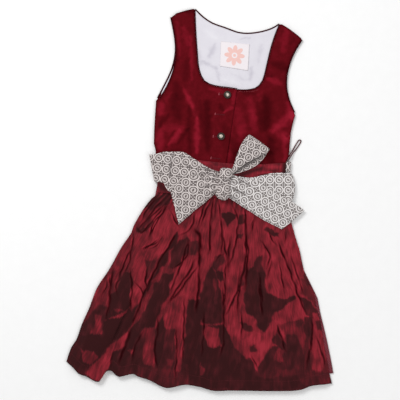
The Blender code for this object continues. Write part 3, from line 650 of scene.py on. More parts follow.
def label_material():
    made, sockets, shade, place = new_material("label", Roughness=0.6, Specular_IOR_Level=0.3)
    moved = shade.make(
        "ShaderNodeVectorMath", {"operation": "SUBTRACT"}, {0: place, 1: (*ROSETTE_CENTRE, 0)})
    right, up = moved.split()
    turn = shade.math("ARCTAN2", up, right)
    petal = abs(shade.math("COSINE", turn * (ROSETTE_PETALS / 2)))
    reach = right.from_middle(up) / ROSETTE_RADIUS
    petals = 1 - (reach - petal * 0.42).step(0.5, 0.56)
    ring = reach.between(0.14, 0.26, 0.03)
    threads = shade.noise(place, 700, 2)
    salmon = threads.mix(srgb(243, 204, 198), srgb(236, 188, 180))
    white = threads.mix(srgb(234, 226, 230), srgb(243, 237, 240))
    colour = (petals * (1 - ring)).mix(white, salmon)
    shade.feed(sockets["Base Color"], colour)
    shade.feed(sockets["Normal"], shade.bump(threads + petals, 0.0003, 0.5))
    return made


across = np.linspace(0, 1, LABEL_COLUMNS + 1)[None, :, None]
down = np.linspace(0, 1, LABEL_ROWS + 1)[:, None, None]
corners = [np.array(corner, float) for corner in LABEL_CORNERS]
flat = (corners[0] * (1 - across) + corners[1] * across) * (1 - down)
flat = flat + (corners[3] * (1 - across) + corners[2] * across) * down
x, y = flat[..., 0], flat[..., 1]
low = np.stack([x, y, LABEL_LOW + 0 * x], -1)
label_top = np.stack([x, y, LABEL_LOW + LABEL_WALL + 0.12 * wander(x, y, 12)], -1)
label = wall("label_cloth", low, label_top, label_material(), flat)
finish_cloth(label, "label")


# Buttons.
# Two cast metal buttons, antiqued, with a beaded rim and a domed flower. Each is sewn to the
# wearer's left front and comes up through a buttonhole of the right one.
BUTTON_PLACES = [(-3, 271), (-8, 166)]
BUTTON_RADIUS = 9.35
BUTTON_SIDES = 64
BUTTON_BEADS = 16
BUTTON_PETALS = 8
RELIEF_ABOVE = 2.2
# From the middle of the face round to the back. Columns: share of the radius, height
BUTTON_PROFILE = [
    (0.0, 5.3), (0.16, 5.25), (0.24, 4.6), (0.34, 4.9), (0.5, 4.5), (0.6, 3.6), (0.68, 2.7), (0.75, 2.3),
    (0.8, 2.5), (0.86, 3.1), (0.92, 3.1), (0.97, 2.7), (1.0, 2.0), (1.0, 0.9), (0.94, 0.3), (0.8, 0.0),
]


def ring_faces(rings, sides, first):
    """The faces between rings of points, one ring after the other."""
    faces = []
    for ring in range(rings - 1):
        for side in range(sides):
            a = first + ring * sides + side
            b = first + ring * sides + (side + 1) % sides
            faces.append((a, a + sides, b + sides, b))
    return faces


def pewter_material():
    made, sockets, shade, place = new_material("pewter", Metallic=0.75, Roughness=0.45)
    worn = shade.noise(place, 350, 4)
    # Darker in the hollows for the antiqued patina, and a painted highlight, near white, on the highest
    # relief.
    colour = (shade.attribute("height") * 0.8 + worn * 0.5 - 0.1).ramp(
        (0.3, srgb(28, 23, 21)), (0.68, srgb(72, 63, 58)), (0.84, srgb(122, 111, 101)),
        (0.95, srgb(236, 228, 214)))
    shade.feed(sockets["Base Color"], colour)
    shade.feed(sockets["Roughness"], 0.35 + worn * 0.3)
    return made


pewter = pewter_material()
for number, (centre_x, centre_y) in enumerate(BUTTON_PLACES, 1):
    node = f"button_{number}"
    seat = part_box(node)[0][2] * METRE
    turns = np.arange(BUTTON_SIDES) * math.tau / BUTTON_SIDES
    button_height = BUTTON_PROFILE[0][1]
    points = [(centre_x, centre_y, seat + button_height)]
    relief = [1.0]
    for share, height in BUTTON_PROFILE[1:]:
        beads = 0.35 * ease(1 - abs(share - 0.89) / 0.08) * np.cos(turns * BUTTON_BEADS)
        flower = 0.3 * ease(1 - abs(share - 0.42) / 0.2) * np.cos(turns * BUTTON_PETALS)
        for turn, bump in zip(turns, beads + flower):
            points.append((
                centre_x + BUTTON_RADIUS * share * math.cos(turn),
                centre_y + BUTTON_RADIUS * share * math.sin(turn),
                seat + height + bump * (height > RELIEF_ABOVE),
            ))
            relief.append((height + 2 * bump) / button_height)
    faces = [(0, 1 + side, 1 + (side + 1) % BUTTON_SIDES) for side in range(BUTTON_SIDES)]
    faces += ring_faces(len(BUTTON_PROFILE) - 1, BUTTON_SIDES, first=1)
    faces.append(tuple(reversed(range(len(points) - BUTTON_SIDES, len(points)))))
    button = mesh_piece(node + "_metal", points, faces, pewter)
    mark(button, "height", relief)
    finish_piece(button, node)


# Skirt.
# Crimson cotton printed with small pale dots, gathered into the waist. The apron hides it but for
# a strip at the wearer's left side and the whole back.
DOT_PITCH = 0.0058


def dotted_material():
    made, sockets, shade, place = new_material("dotted_cotton", Roughness=0.85, Sheen_Weight=0.05)
    right, up = place.split()
    row = up / (DOT_PITCH * 0.5)
    shift = shade.math("FLOORED_MODULO", shade.math("ROUND", row), 2.0) * 0.5
    off_x = (right / DOT_PITCH + shift).off_whole()
    off_y = row.off_whole() * 0.5
    dot = 1 - off_x.from_middle(off_y).step(0.08, 0.15)
    threads = shade.noise(place, 700, 2)
    faded = shade.noise(place, 60, 3)
    ground_colour = (threads * 0.5 + faded * 0.5).ramp((0.3, srgb(80, 10, 22)), (0.7, srgb(122, 22, 42)))
    shade.feed(sockets["Base Color"], dot.mix(ground_colour, srgb(168, 104, 118)))
    shade.feed(sockets["Normal"], shade.bump(threads, 0.0004, 0.5))
    return made


dotted = dotted_material()
skirt_back = finer_copy("skirt_back", "skirt_back_cotton", dotted, cell=12, rounds=1)
finish_cloth(skirt_back, "skirt_back")
skirt_front = finer_copy("skirt_front", "skirt_front_cotton", dotted, cell=10, rounds=4)
finish_cloth(
    skirt_front, "skirt_front")


# Apron.
# Wine red shot taffeta, gathered into the waistband and lying in long loose folds. Its warp is dark
# and its weft bright; the glow or the dark of each facet is painted into its colour.
SKIRT_SIDE_RIGHT = [
    (-154, 30), (-151, 7), (-164, -6), (-180, -31), (-202, -79), (-206, -97), (-227, -136),
    (-252, -195), (-277, -243), (-291, -295), (-305, -337), (-315, -378), (-326, -399),
    (-334, -435),
]
SKIRT_SIDE_LEFT = [
    (159, 30), (168, 22), (179, 4), (188, -24), (202, -62), (219, -101), (231, -140),
    (246, -168), (265, -191), (279, -222), (284, -243), (294, -270), (308, -310), (317, -337),
    (334, -394),
]
SKIRT_HEM = [
    (-320, -410), (-247, -436), (-218, -420), (-152, -426), (-33, -436), (82, -438), (218, -425),
    (284, -405), (334, -394),
]
APRON_TOP = [(-150, 14), (-66, 18), (20, 22), (94, 26), (163, 29)]
APRON_EDGE_LEFT = [
    (246, -170), (261, -190), (273, -231), (283, -255), (291, -280), (298, -305), (306, -336),
    (315, -364), (323, -392), (333, -420),
]
APRON_HEM = [
    (-334, -435), (-314, -448), (-299, -461), (-283, -465), (-256, -476), (-247, -476), (-231, -448),
    (-218, -445), (-207, -455), (-198, -458), (-164, -447), (-152, -452), (-123, -458), (-78, -473),
    (-33, -461), (5, -462), (40, -468), (82, -463), (218, -450), (260, -442), (284, -430), (334, -420),
]
APRON_LOW = 3.3
APRON_WALL = 1.2
APRON_COLUMNS = 250
APRON_ROWS = 184
APRON_BREADTH = 640
APRON_EDGE_REACH = 26
FOLD_HEIGHT = 7.5
BULGE_HEIGHT = 2.5
GATHERS = 26
GATHER_HEIGHT = 1.7
# Valleys between the folds. Columns: across at start, middle, end (0 to 1), down at start, end
# (0 to 1), half width, depth
APRON_VALLEYS = [
    (0.400, 0.454, 0.471, 0.10, 0.66, 9, 1.0),
    (0.358, 0.255, 0.200, 0.16, 0.90, 12, 1.0),
    (0.525, 0.590, 0.582, 0.12, 0.86, 8, 0.8),
    (0.676, 0.684, 0.641, 0.10, 0.66, 9, 0.9),
    (0.885, 0.911, 0.938, 0.20, 0.70, 10, 0.9),
    (0.935, 0.928, 0.932, 0.16, 0.46, 7, 0.6),
    (0.805, 0.818, 0.835, 0.66, 0.88, 11, 0.7),
    (0.955, 0.930, 0.905, 0.60, 1.00, 12, 0.8),
    (0.504, 0.496, 0.485, 0.66, 1.00, 9, 0.7),
    (0.447, 0.480, 0.500, 0.05, 0.34, 7, 0.7),
    (0.619, 0.612, 0.606, 0.14, 0.44, 7, 0.7),
    (0.800, 0.792, 0.822, 0.12, 0.40, 8, 0.7),
    (0.453, 0.344, 0.305, 0.38, 0.84, 11, 0.8),
    (0.126, 0.189, 0.214, 0.28, 0.52, 12, 0.7),
    (0.167, 0.100, 0.040, 0.08, 0.24, 9, 0.8),
    (0.230, 0.150, 0.100, 0.60, 1.00, 16, 0.9),
    (0.060, 0.050, 0.045, 0.36, 0.70, 11, 0.7),
    (0.725, 0.740, 0.720, 0.30, 0.80, 14, 0.6),
]
# Facets of the taffeta's painted sheen, read on two enlarged parts of the picture: tone, then corners.
# A tone of 1 is painted glow, and 0 is painted shade, the dark side of the shot cloth. A view is the
# left and the top of such a part in the picture, and how much it is enlarged.
PICTURE_MIDDLE = 200
MM_A_PIXEL = 2.5
FACET_SOFTNESS = 3.4
RIGHT_VIEW = (30, 180, 7.467)
RIGHT_FACETS = [
    (0.30, [(950, 110), (1060, 90), (1050, 170), (980, 190), (900, 230), (870, 190)]),
    (0.85, [(1010, 220), (1060, 230), (1110, 350), (1090, 400), (1040, 490), (980, 560), (900, 600),
            (830, 520), (860, 500), (940, 470), (900, 400), (880, 340), (960, 250)]),
    (0.60, [(860, 210), (930, 220), (880, 330), (820, 400), (790, 360), (830, 290)]),
    (0.15, [(800, 370), (830, 400), (880, 370), (920, 320), (910, 300), (870, 350), (830, 370), (800, 350)]),
    (0.15, [(880, 160), (950, 130), (960, 150), (880, 200), (850, 210)]),
    (0.62, [(770, 400), (810, 460), (800, 560), (770, 640), (700, 700), (680, 720), (700, 640),
            (740, 540), (750, 450)]),
    (0.42, [(850, 600), (950, 600), (970, 640), (920, 720), (870, 760), (855, 680)]),
    (0.12, [(750, 690), (700, 710), (670, 760), (660, 830), (600, 860), (590, 960), (560, 1040),
            (600, 1050), (700, 980), (750, 960), (750, 850), (770, 760)]),
    (0.85, [(850, 560), (870, 640), (860, 760), (850, 840), (800, 940), (750, 930), (745, 870),
            (770, 760), (760, 690), (770, 640), (800, 600)]),
    (0.75, [(560, 780), (600, 700), (600, 820), (575, 920), (540, 920), (530, 850)]),
    (0.50, [(600, 690), (680, 660), (680, 740), (650, 830), (610, 850)]),
    (0.30, [(520, 930), (580, 960), (560, 1060), (460, 1160), (350, 1160), (400, 1060)]),
    (0.08, [(750, 960), (770, 1000), (760, 1080), (720, 1140), (600, 1230), (500, 1320), (440, 1400),
            (380, 1360), (390, 1270), (340, 1220), (350, 1160), (460, 1160), (540, 1140), (560, 1050),
            (660, 1030), (730, 1000)]),
    (0.25, [(275, 1350), (340, 1220), (390, 1270), (380, 1360), (350, 1420)]),
    (0.75, [(480, 1000), (545, 1010), (535, 1140), (440, 1160), (470, 1120), (490, 1060)]),
    (0.55, [(610, 960), (640, 950), (720, 970), (650, 985)]),
    (0.85, [(570, 1050), (660, 1000), (730, 980), (725, 1000), (660, 1030)]),
    (0.85, [(715, 1140), (730, 1150), (700, 1230), (620, 1290), (600, 1380), (560, 1430), (520, 1505),
            (470, 1490), (415, 1440), (440, 1400), (520, 1330), (620, 1230)]),
    (0.70, [(385, 1270), (440, 1265), (500, 1300), (500, 1330), (450, 1380), (400, 1350), (400, 1310)]),
    (0.75, [(1110, 350), (1240, 240), (1260, 260), (1210, 380), (1170, 430), (1080, 480), (1100, 420)]),
    (0.15, [(1090, 400), (1110, 450), (1050, 520), (1010, 620), (950, 700), (900, 790), (850, 860),
            (800, 970), (760, 1060), (770, 980), (800, 940), (850, 850), (920, 720), (960, 640),
            (950, 600), (1000, 550), (1040, 490)]),
    (0.12, [(930, 770), (1000, 700), (1000, 900), (950, 1010), (920, 1100), (860, 1110), (790, 1220),
            (750, 1280), (700, 1300), (650, 1420), (600, 1430), (600, 1390), (640, 1290), (700, 1240),
            (760, 1100), (850, 990), (900, 890)]),
    (0.70, [(980, 650), (1020, 640), (960, 760), (930, 770)]),
    (0.15, [(1080, 480), (1170, 430), (1200, 450), (1170, 540), (1120, 640), (1040, 660), (1050, 560)]),
    (0.10, [(1000, 700), (1040, 700), (1090, 690), (1040, 760), (1040, 840), (1010, 910), (980, 960),
            (1000, 800)]),
    (0.28, [(1190, 470), (1260, 470), (1260, 545), (1195, 540)]),
    (0.82, [(1150, 560), (1220, 560), (1260, 570), (1200, 640), (1140, 720), (1100, 760), (1060, 860),
            (1040, 840), (1040, 760), (1090, 690), (1120, 630)]),
    (0.85, [(1220, 660), (1270, 640), (1270, 860), (1240, 880), (1150, 860), (1060, 900), (1020, 950),
            (1040, 900), (1100, 850), (1180, 760)]),
    (0.30, [(1000, 1110), (1090, 1100), (1090, 1320), (1020, 1300), (990, 1200)]),
    (0.74, [(1090, 870), (1160, 870), (1170, 1000), (1150, 1120), (1150, 1240), (1120, 1500),
            (1090, 1500), (1090, 1100), (1010, 1100), (990, 1010), (1030, 930)]),
    (0.10, [(940, 1110), (1000, 1010), (1010, 1110), (990, 1250), (960, 1400), (940, 1380), (920, 1200)]),
    (0.62, [(860, 1180), (940, 1110), (920, 1200), (940, 1320), (930, 1400), (860, 1370), (840, 1280)]),
    (0.60, [(720, 1260), (780, 1270), (760, 1310), (740, 1300)]),
    (0.07, [(1180, 880), (1270, 900), (1270, 1400), (1160, 1380), (1150, 1240), (1170, 1000)]),
    (0.38, [(800, 1390), (930, 1400), (1100, 1420), (1260, 1440), (1260, 1560), (1020, 1560), (800, 1460)]),
    (0.55, [(1010, 1340), (1060, 1340), (1055, 1390), (1015, 1390)]),
    (0.20, [(640, 1290), (720, 1290), (780, 1320), (780, 1450), (650, 1470), (610, 1430)]),
]
LEFT_VIEW = (190, 190, 7.84)
LEFT_FACETS = [
    (0.05, [(270, 1060), (300, 1120), (350, 1240), (440, 1330), (500, 1330), (510, 1400), (520, 1470),
            (600, 1480), (900, 1440), (1110, 1430), (1120, 1520), (900, 1560), (600, 1580), (-10, 1540),
            (-10, 1060), (60, 1060), (110, 1060)]),
    (0.22, [(850, 1440), (1110, 1440), (1110, 1520), (880, 1530)]),
    (0.02, [(245, 185), (300, 180), (360, 185), (355, 225), (330, 250), (300, 285), (275, 245), (250, 220)]),
    (0.10, [(390, 190), (440, 190), (430, 260), (385, 270)]),
    (0.05, [(585, 290), (700, 335), (700, 365), (610, 330), (580, 310)]),
    (0.20, [(370, 350), (405, 350), (400, 390), (370, 390)]),
    (0.30, [(200, 520), (265, 500), (270, 560), (210, 640), (180, 600)]),
    (0.12, [(130, 640), (180, 600), (210, 690), (240, 780), (260, 900), (260, 1040), (170, 1050),
            (90, 1030), (60, 950), (80, 850), (110, 740)]),
    (0.42, [(180, 700), (205, 700), (225, 900), (190, 900)]),
    (0.08, [(200, 640), (265, 640), (270, 700), (240, 720), (210, 690)]),
    (0.30, [(430, 560), (450, 640), (420, 740), (370, 760), (400, 660)]),
    (0.03, [(450, 640), (480, 620), (500, 600), (570, 620), (590, 700), (600, 820), (640, 830),
            (730, 850), (830, 825), (830, 850), (770, 900), (700, 940), (660, 960), (640, 1020),
            (580, 1110), (530, 1080), (500, 1000), (440, 960), (415, 870), (440, 760)]),
    (0.22, [(520, 520), (560, 520), (575, 640), (500, 640)]),
    (0.10, [(400, 1035), (430, 1040), (480, 1070), (490, 1100), (440, 1110), (410, 1060)]),
    (0.45, [(690, 1050), (830, 1020), (900, 1040), (900, 1150), (890, 1290), (830, 1130), (740, 1130)]),
    (0.25, [(820, 1020), (870, 1000), (900, 1040), (860, 1080), (830, 1060)]),
    (0.12, [(760, 1120), (830, 1130), (860, 1200), (890, 1290), (900, 1420), (700, 1440), (690, 1350),
            (740, 1250)]),
    (0.12, [(900, 1000), (960, 1000), (960, 1100), (950, 1250), (930, 1430), (890, 1430), (890, 1290),
            (900, 1150)]),
    (0.42, [(860, 700), (960, 720), (1000, 860), (1010, 940), (940, 860), (870, 800)]),
    (0.15, [(890, 640), (930, 640), (950, 740), (920, 760), (900, 720)]),
    (0.13, [(870, 840), (910, 850), (960, 900), (1010, 960), (1050, 1100), (1000, 1090), (960, 1000),
            (910, 980)]),
    (0.65, [(960, 1190), (1010, 1260), (1060, 1390), (1040, 1420), (950, 1420), (960, 1300)]),
    (0.68, [(965, 1100), (1030, 1130), (1060, 1220), (1040, 1240), (980, 1170)]),
    (0.70, [(960, 960), (1000, 960), (1010, 1020), (970, 1040)]),
    (0.72, [(120, 1060), (230, 1090), (240, 1230), (170, 1240), (140, 1220), (110, 1150)]),
    (0.85, [(410, 1180), (470, 1130), (520, 1110), (580, 1130), (650, 1020), (690, 1020), (680, 1060),
            (640, 1180), (600, 1260), (560, 1350), (530, 1440), (510, 1380), (480, 1310), (440, 1320),
            (410, 1290)]),
    (0.30, [(480, 1210), (520, 1210), (520, 1260), (480, 1260)]),
    (0.10, [(680, 1060), (710, 1110), (760, 1260), (720, 1250), (650, 1200), (640, 1170), (680, 1150)]),
    (0.08, [(640, 1230), (700, 1230), (640, 1330), (580, 1420), (540, 1450), (560, 1360), (600, 1280)]),
    (0.58, [(700, 1280), (740, 1260), (740, 1330), (700, 1350), (670, 1330)]),
    (0.32, [(590, 1430), (800, 1400), (830, 1430), (600, 1480)]),
    (0.55, [(90, 1330), (110, 1400), (100, 1450), (70, 1450)]),
    (0.10, [(-20, 860), (60, 860), (60, 960), (0, 1000), (-20, 1000)]),
    (0.35, [(-10, 400), (60, 400), (60, 500), (-10, 510)]),
]
# Sharp creases, with painted shade almost black at their bottom: half width in millimetres, then places in
# the view
RIGHT_CREASES = [
    (2.6, [(1095, 390), (1040, 490), (980, 580), (920, 700), (850, 850), (800, 990), (760, 1100)]),
    (3.4, [(760, 1100), (710, 1240), (660, 1370)]),
    (2.2, [(1230, 240), (1200, 360), (1110, 420)]),
    (2.0, [(1040, 220), (1110, 350)]),
    (2.0, [(1000, 200), (900, 320), (840, 390), (800, 360)]),
    (1.8, [(1020, 190), (940, 330), (890, 420)]),
    (1.8, [(1010, 180), (870, 300), (810, 360)]),
    (1.8, [(830, 515), (900, 490), (970, 450), (1000, 410)]),
    (1.8, [(770, 400), (760, 520), (740, 620), (700, 700)]),
    (2.0, [(590, 700), (600, 850), (570, 1040)]),
    (2.0, [(1190, 440), (1150, 560), (1130, 640), (1080, 740), (1050, 850)]),
    (2.0, [(1250, 640), (1180, 740), (1100, 850), (1030, 920)]),
    (2.2, [(950, 1010), (960, 1100), (930, 1250), (950, 1400)]),
    (1.6, [(1150, 880), (1150, 1100), (1140, 1350)]),
    (2.0, [(850, 1130), (790, 1230), (760, 1350)]),
    (1.8, [(620, 1280), (600, 1400)]),
    (1.6, [(1090, 1100), (1095, 1300), (1085, 1500)]),
    (1.6, [(680, 720), (640, 800), (660, 860)]),
    (1.6, [(530, 860), (560, 820), (575, 740)]),
]
UPPER_RIGHT_VIEW = (95, 195, 6.5)
UPPER_RIGHT_CREASES = [
    (2.2, [(440, 30), (350, 140), (310, 200)]),
    (2.0, [(400, 20), (340, 90), (300, 170)]),
    (2.2, [(480, 60), (420, 140), (380, 180), (350, 290)]),
    (2.0, [(250, 270), (240, 350), (200, 420), (150, 560)]),
    (3.2, [(120, 480), (100, 600), (90, 760)]),
    (2.0, [(230, 480), (240, 600), (230, 750)]),
    (4.6, [(636, 215), (672, 250), (684, 310), (684, 380)]),
    (2.2, [(750, 100), (748, 240), (748, 380)]),
    (2.2, [(690, 200), (720, 110), (750, 40)]),
    (2.0, [(600, 285), (610, 350), (570, 430), (510, 480)]),
    (2.2, [(650, 420), (600, 520), (540, 600), (480, 700)]),
    (1.8, [(300, 350), (340, 345), (390, 300), (430, 280)]),
    (1.8, [(440, 270), (400, 330), (360, 350)]),
    (1.8, [(320, 690), (300, 610), (250, 560)]),
    (2.0, [(60, 560), (90, 470), (130, 420)]),
    (2.0, [(340, 470), (330, 560), (350, 640)]),
]
UPPER_LEFT_VIEW = (205, 195, 6.5)
UPPER_LEFT_CREASES = [
    (2.2, [(60, 20), (40, 110), (35, 220), (25, 380)]),
    (2.4, [(100, 150), (110, 240), (125, 330), (150, 420)]),
    (4.2, [(140, 370), (152, 440), (152, 490)]),
    (2.2, [(215, 180), (205, 290), (175, 400), (150, 480)]),
    (3.0, [(265, 120), (262, 250), (280, 370), (275, 440), (265, 560), (260, 620)]),
    (2.2, [(225, 500), (210, 620), (130, 780)]),
    (2.0, [(130, 550), (125, 780)]),
    (2.0, [(360, 300), (420, 380), (400, 480)]),
    (2.2, [(330, 150), (300, 250)]),
    (1.8, [(350, 560), (365, 700), (372, 780)]),
    (2.0, [(180, 70), (205, 130), (215, 180)]),
    (2.0, [(90, 40), (100, 150)]),
    (2.0, [(410, 230), (440, 300), (470, 330)]),
    (1.8, [(70, 430), (100, 390), (130, 380)]),
    (1.8, [(560, 400), (600, 520), (640, 640)]),
]
LEFT_CREASES = [
    (3.4, [(20, 310), (70, 350), (75, 500), (70, 700), (50, 960)]),
    (2.2, [(60, 290), (90, 200), (110, 120)]),
    (2.0, [(160, 300), (150, 500)]),
    (2.0, [(240, 200), (250, 400), (245, 500)]),
    (2.6, [(320, 370), (300, 500), (290, 640)]),
    (2.4, [(435, 120), (440, 330), (440, 480), (460, 580)]),
    (2.4, [(440, 480), (430, 600), (390, 750), (370, 980)]),
    (2.0, [(540, 650), (560, 800), (570, 980)]),
    (2.6, [(690, 390), (730, 510), (790, 650), (860, 860), (910, 960)]),
    (2.0, [(570, 410), (600, 480)]),
    (2.2, [(255, 780), (265, 950), (260, 1200), (235, 1300)]),
    (2.0, [(280, 560), (275, 720)]),
    (2.4, [(680, 1060), (720, 1170), (750, 1260)]),
    (2.4, [(960, 1000), (950, 1200), (910, 1400)]),
    (2.4, [(990, 1150), (1040, 1290), (1060, 1400)]),
    (2.0, [(745, 330), (750, 420)]),
    (2.0, [(510, 200), (480, 300)]),
    (2.2, [(200, 110), (190, 220)]),
    (2.0, [(110, 960), (110, 1080), (90, 1300)]),
    (1.8, [(480, 1290), (530, 1400)]),
    (1.8, [(390, 1160), (410, 1060), (400, 960)]),
    (1.8, [(640, 560), (620, 650), (600, 690)]),
    (1.6, [(700, 560), (720, 700), (740, 800)]),
]


def step_lengths(line):
    """The length from each place of a line to the next."""
    return np.linalg.norm(np.diff(line, axis=0), axis=-1)


def so_far(steps):
    """What steps add up to before the first of them, and after each."""
    return np.concatenate([np.zeros_like(steps[:1]), np.cumsum(steps, axis=0)])


def through(points, step, counts=None):
    """A smooth line through points, with a place about every step or a given count of them."""
    points = [np.array(point, float) for point in points]
    last = len(points) - 1
    line = [points[0]]
    for index in range(last):
        start, end = points[index], points[index + 1]
        before, after = points[max(index - 1, 0)], points[min(index + 2, last)]
        length = np.linalg.norm(end - start)
        leave = (end - before) * (length / (length + np.linalg.norm(start - before)))
        arrive = (after - start) * (length / (length + np.linalg.norm(after - end)))
        count = counts[index] if counts else max(1, round(length / step))
        for place in range(1, count + 1):
            t = place / count
            line.append(
                start * (2 * t ** 3 - 3 * t ** 2 + 1) + leave * (t ** 3 - 2 * t ** 2 + t)
                + end * (3 * t ** 2 - 2 * t ** 3) + arrive * (t ** 3 - t ** 2)
            )
    return np.array(line)


def spread(line, shares):
    """Places at shares, 0 to 1, of a line's length."""
    lengths = so_far(step_lengths(line))
    targets = shares * lengths[-1]
    return np.stack([np.interp(targets, lengths, line[:, axis]) for axis in range(line.shape[1])], -1)


def garment_place(points, view):
    """Places read on an enlarged part of the picture, as millimetres on the garment."""
    left, top, enlarged = view
    read = np.array(points, float) / enlarged + (left, top)
    picture_x = (read[:, 0] - PICTURE_MIDDLE) * MM_A_PIXEL
    picture_y = (PICTURE_MIDDLE - read[:, 1]) * MM_A_PIXEL
    cos, sin = math.cos(PICTURE_TURN), math.sin(PICTURE_TURN)
    return np.stack([
        picture_x * cos - picture_y * sin + PICTURE_CENTRE[0] * METRE,
        picture_x * sin + picture_y * cos + PICTURE_CENTRE[1] * METRE,
    ], -1)


def distance_to(x, y, lines):
    """How far places lie from the nearest of some lines."""
    nearest = np.full_like(x, math.inf)
    for line in lines:
        for start, end in zip(line, line[1:]):
            nearest = np.minimum(nearest, beside_run(x, y, *start, *end)[1])
    return nearest


def facets(x, y, tone, table, view):
    """Lays the facets of a table over a tone, one after the other."""
    for value, corners in table:
        outline = garment_place(corners, view)
        within = np.zeros(x.shape, bool)
        for (x1, y1), (x2, y2) in zip(outline, np.roll(outline, -1, axis=0)):
            if y1 != y2:
                crossing = x1 + (y - y1) / (y2 - y1) * (x2 - x1)
                within ^= ((y1 > y) != (y2 > y)) & (x < crossing)
        away = distance_to(x, y, [np.concatenate([outline, outline[:1]])])
        share = ease(0.5 + np.where(within, away, -away) / FACET_SOFTNESS)
        tone = tone * (1 - share) + value * share
    return tone


def creased(x, y, table, view=None):
    """How deep in the creases of a table a place lies, 0 to 1; a crease fades out at its ends."""
    depth = np.zeros_like(x)
    for half_width, corners in table:
        corners = np.array(corners, float) if view is None else garment_place(corners, view)
        line = through(corners, 10)
        away = distance_to(x, y, [line]) / half_width
        from_start = np.hypot(x - line[0, 0], y - line[0, 1])
        from_end = np.minimum(from_start, np.hypot(x - line[-1, 0], y - line[-1, 1]))
        depth = np.maximum(depth, np.exp(-(away ** 2.2)) * (0.3 + 0.7 * ease(from_end / 20)))
    return depth * np.clip(0.9 + 0.3 * wander(x, y, 23), 0, 1.1)


def lift(y):
    """How much the tie under the back raises the layers above it."""
    return 1.5 * ease(1 - np.maximum(y - 112, 36 - y) / 85)


def arc(start, middle, end, share):
    """A smooth run through three values or places, the middle one half way."""
    return (
        start * (1 - share) * (1 - 2 * share) + middle * 4 * share * (1 - share)
        + end * share * (2 * share - 1)
    )


def valleys(across, down, width):
    """1 on the folds, 0 at the bottom of the valleys between them."""
    left_over = np.ones(np.broadcast(across, down).shape)
    for start, middle, end, from_down, to_down, half_width, depth in APRON_VALLEYS:
        share = (down - from_down) / (to_down - from_down)
        fade = ease((share + 0.15) / 0.3) * ease((1.15 - share) / 0.3)
        away = (across - arc(start, middle, end, np.clip(share, 0, 1))) * width / half_width
        left_over = left_over * (1 - depth * fade * np.exp(-away * away))
    return left_over


def gathers(across, down):
    """The tight gathers under the waistband: every other one runs out sooner."""
    wave = (1 + np.cos(math.tau * GATHERS * across)) / 2
    reach = 0.13 + 0.09 * (1 + np.sin(57 * across + 0.6)) / 2
    fade = (0.6 + 0.4 * ease(down / 0.03)) * ease(1.25 - down / reach)
    return GATHER_HEIGHT * wave * fade * (0.8 + 0.2 * np.sin(31 * across))


def taffeta_material():
    made, sockets, shade, place = new_material(
        "taffeta", Specular_IOR_Level=0.3, Specular_Tint=srgb(190, 40, 55))

    def stretched(*scale):
        return shade.make("ShaderNodeMapping", {}, {"Vector": place, "Scale": scale})

    slubs = shade.noise(stretched(60, 700, 60), 1.0, 3)
    flecks = shade.noise(stretched(95, 40, 60), 1.0, 5, 0.6)
    fine = shade.noise(place, 900, 2)
    # Painted streaks of sheen and shade run with the folds, each 4 mm or so across, like fine pleats.
    down_folds = stretched(0, 30, 0)
    over_folds = shade.make("ShaderNodeCombineXYZ", {}, {"X": shade.attribute("across") * 0.24})
    run = shade.make("ShaderNodeVectorMath", {"operation": "ADD"}, {0: down_folds, 1: over_folds})
    pleat_sheen = shade.noise(run, 1.0, 4, 0.6)
    # The tone attribute paints the shot cloth's sheen: it glows where the tone is high and goes dark where
    # it is low.
    lit = shade.attribute("tone")
    tone = lit + (flecks - 0.5) * 0.45 + (pleat_sheen - 0.5) * (lit * 0.9 + 0.35)
    tone = tone + (slubs - 0.5) * 0.08 + (fine - 0.5) * 0.05
    colour = tone.ramp(
        (0.0, srgb(48, 25, 26)), (0.25, srgb(67, 29, 32)), (0.5, srgb(96, 32, 38)),
        (0.75, srgb(129, 38, 47)), (1.0, srgb(154, 45, 57)),
    )
    # The line attribute paints near-black shade into the creases.
    line = shade.attribute("line")
    shade.feed(sockets["Base Color"], line.mix(colour, srgb(28, 4, 6)))
    shade.feed(sockets["Roughness"], 0.45 + slubs * 0.12)
    shade.feed(sockets["Normal"], shade.bump(slubs + fine * 0.5, 0.0003, 0.3))
    return made


taffeta = taffeta_material()
skirt_right = through([(a + 5, b) for a, b in SKIRT_SIDE_RIGHT if b > -390] + SKIRT_HEM[:1], 20)
skirt_left = through(SKIRT_SIDE_LEFT, 20)
skirt_edges = [skirt_right, skirt_left, through(SKIRT_HEM, 20)]

across = np.linspace(0, 1, APRON_COLUMNS + 1)
down = np.linspace(0, 1, APRON_ROWS + 1) ** 1.12
right_edge = spread(through([APRON_TOP[0]] + SKIRT_SIDE_RIGHT[1:], 15), down)[:, None]
left_edge = spread(
    through([APRON_TOP[-1]] + SKIRT_SIDE_LEFT[1:7] + APRON_EDGE_LEFT, 15), down)[:, None]
top_edge = spread(through(APRON_TOP, 20), across)[None]
hem_edge = spread(through(APRON_HEM, 7), across)[None]
a, d = across[None, :, None], down[:, None, None]
corner = (top_edge[:, :1] * (1 - a) + top_edge[:, -1:] * a) * (1 - d)
corner = corner + (hem_edge[:, :1] * (1 - a) + hem_edge[:, -1:] * a) * d
flat = right_edge * (1 - a) + left_edge * a + top_edge * (1 - d) + hem_edge * d - corner
x, y = flat[..., 0], flat[..., 1]
a, d = across[None, :], down[:, None]
width = np.linalg.norm(left_edge[:, 0] - right_edge[:, 0], axis=1)[:, None]

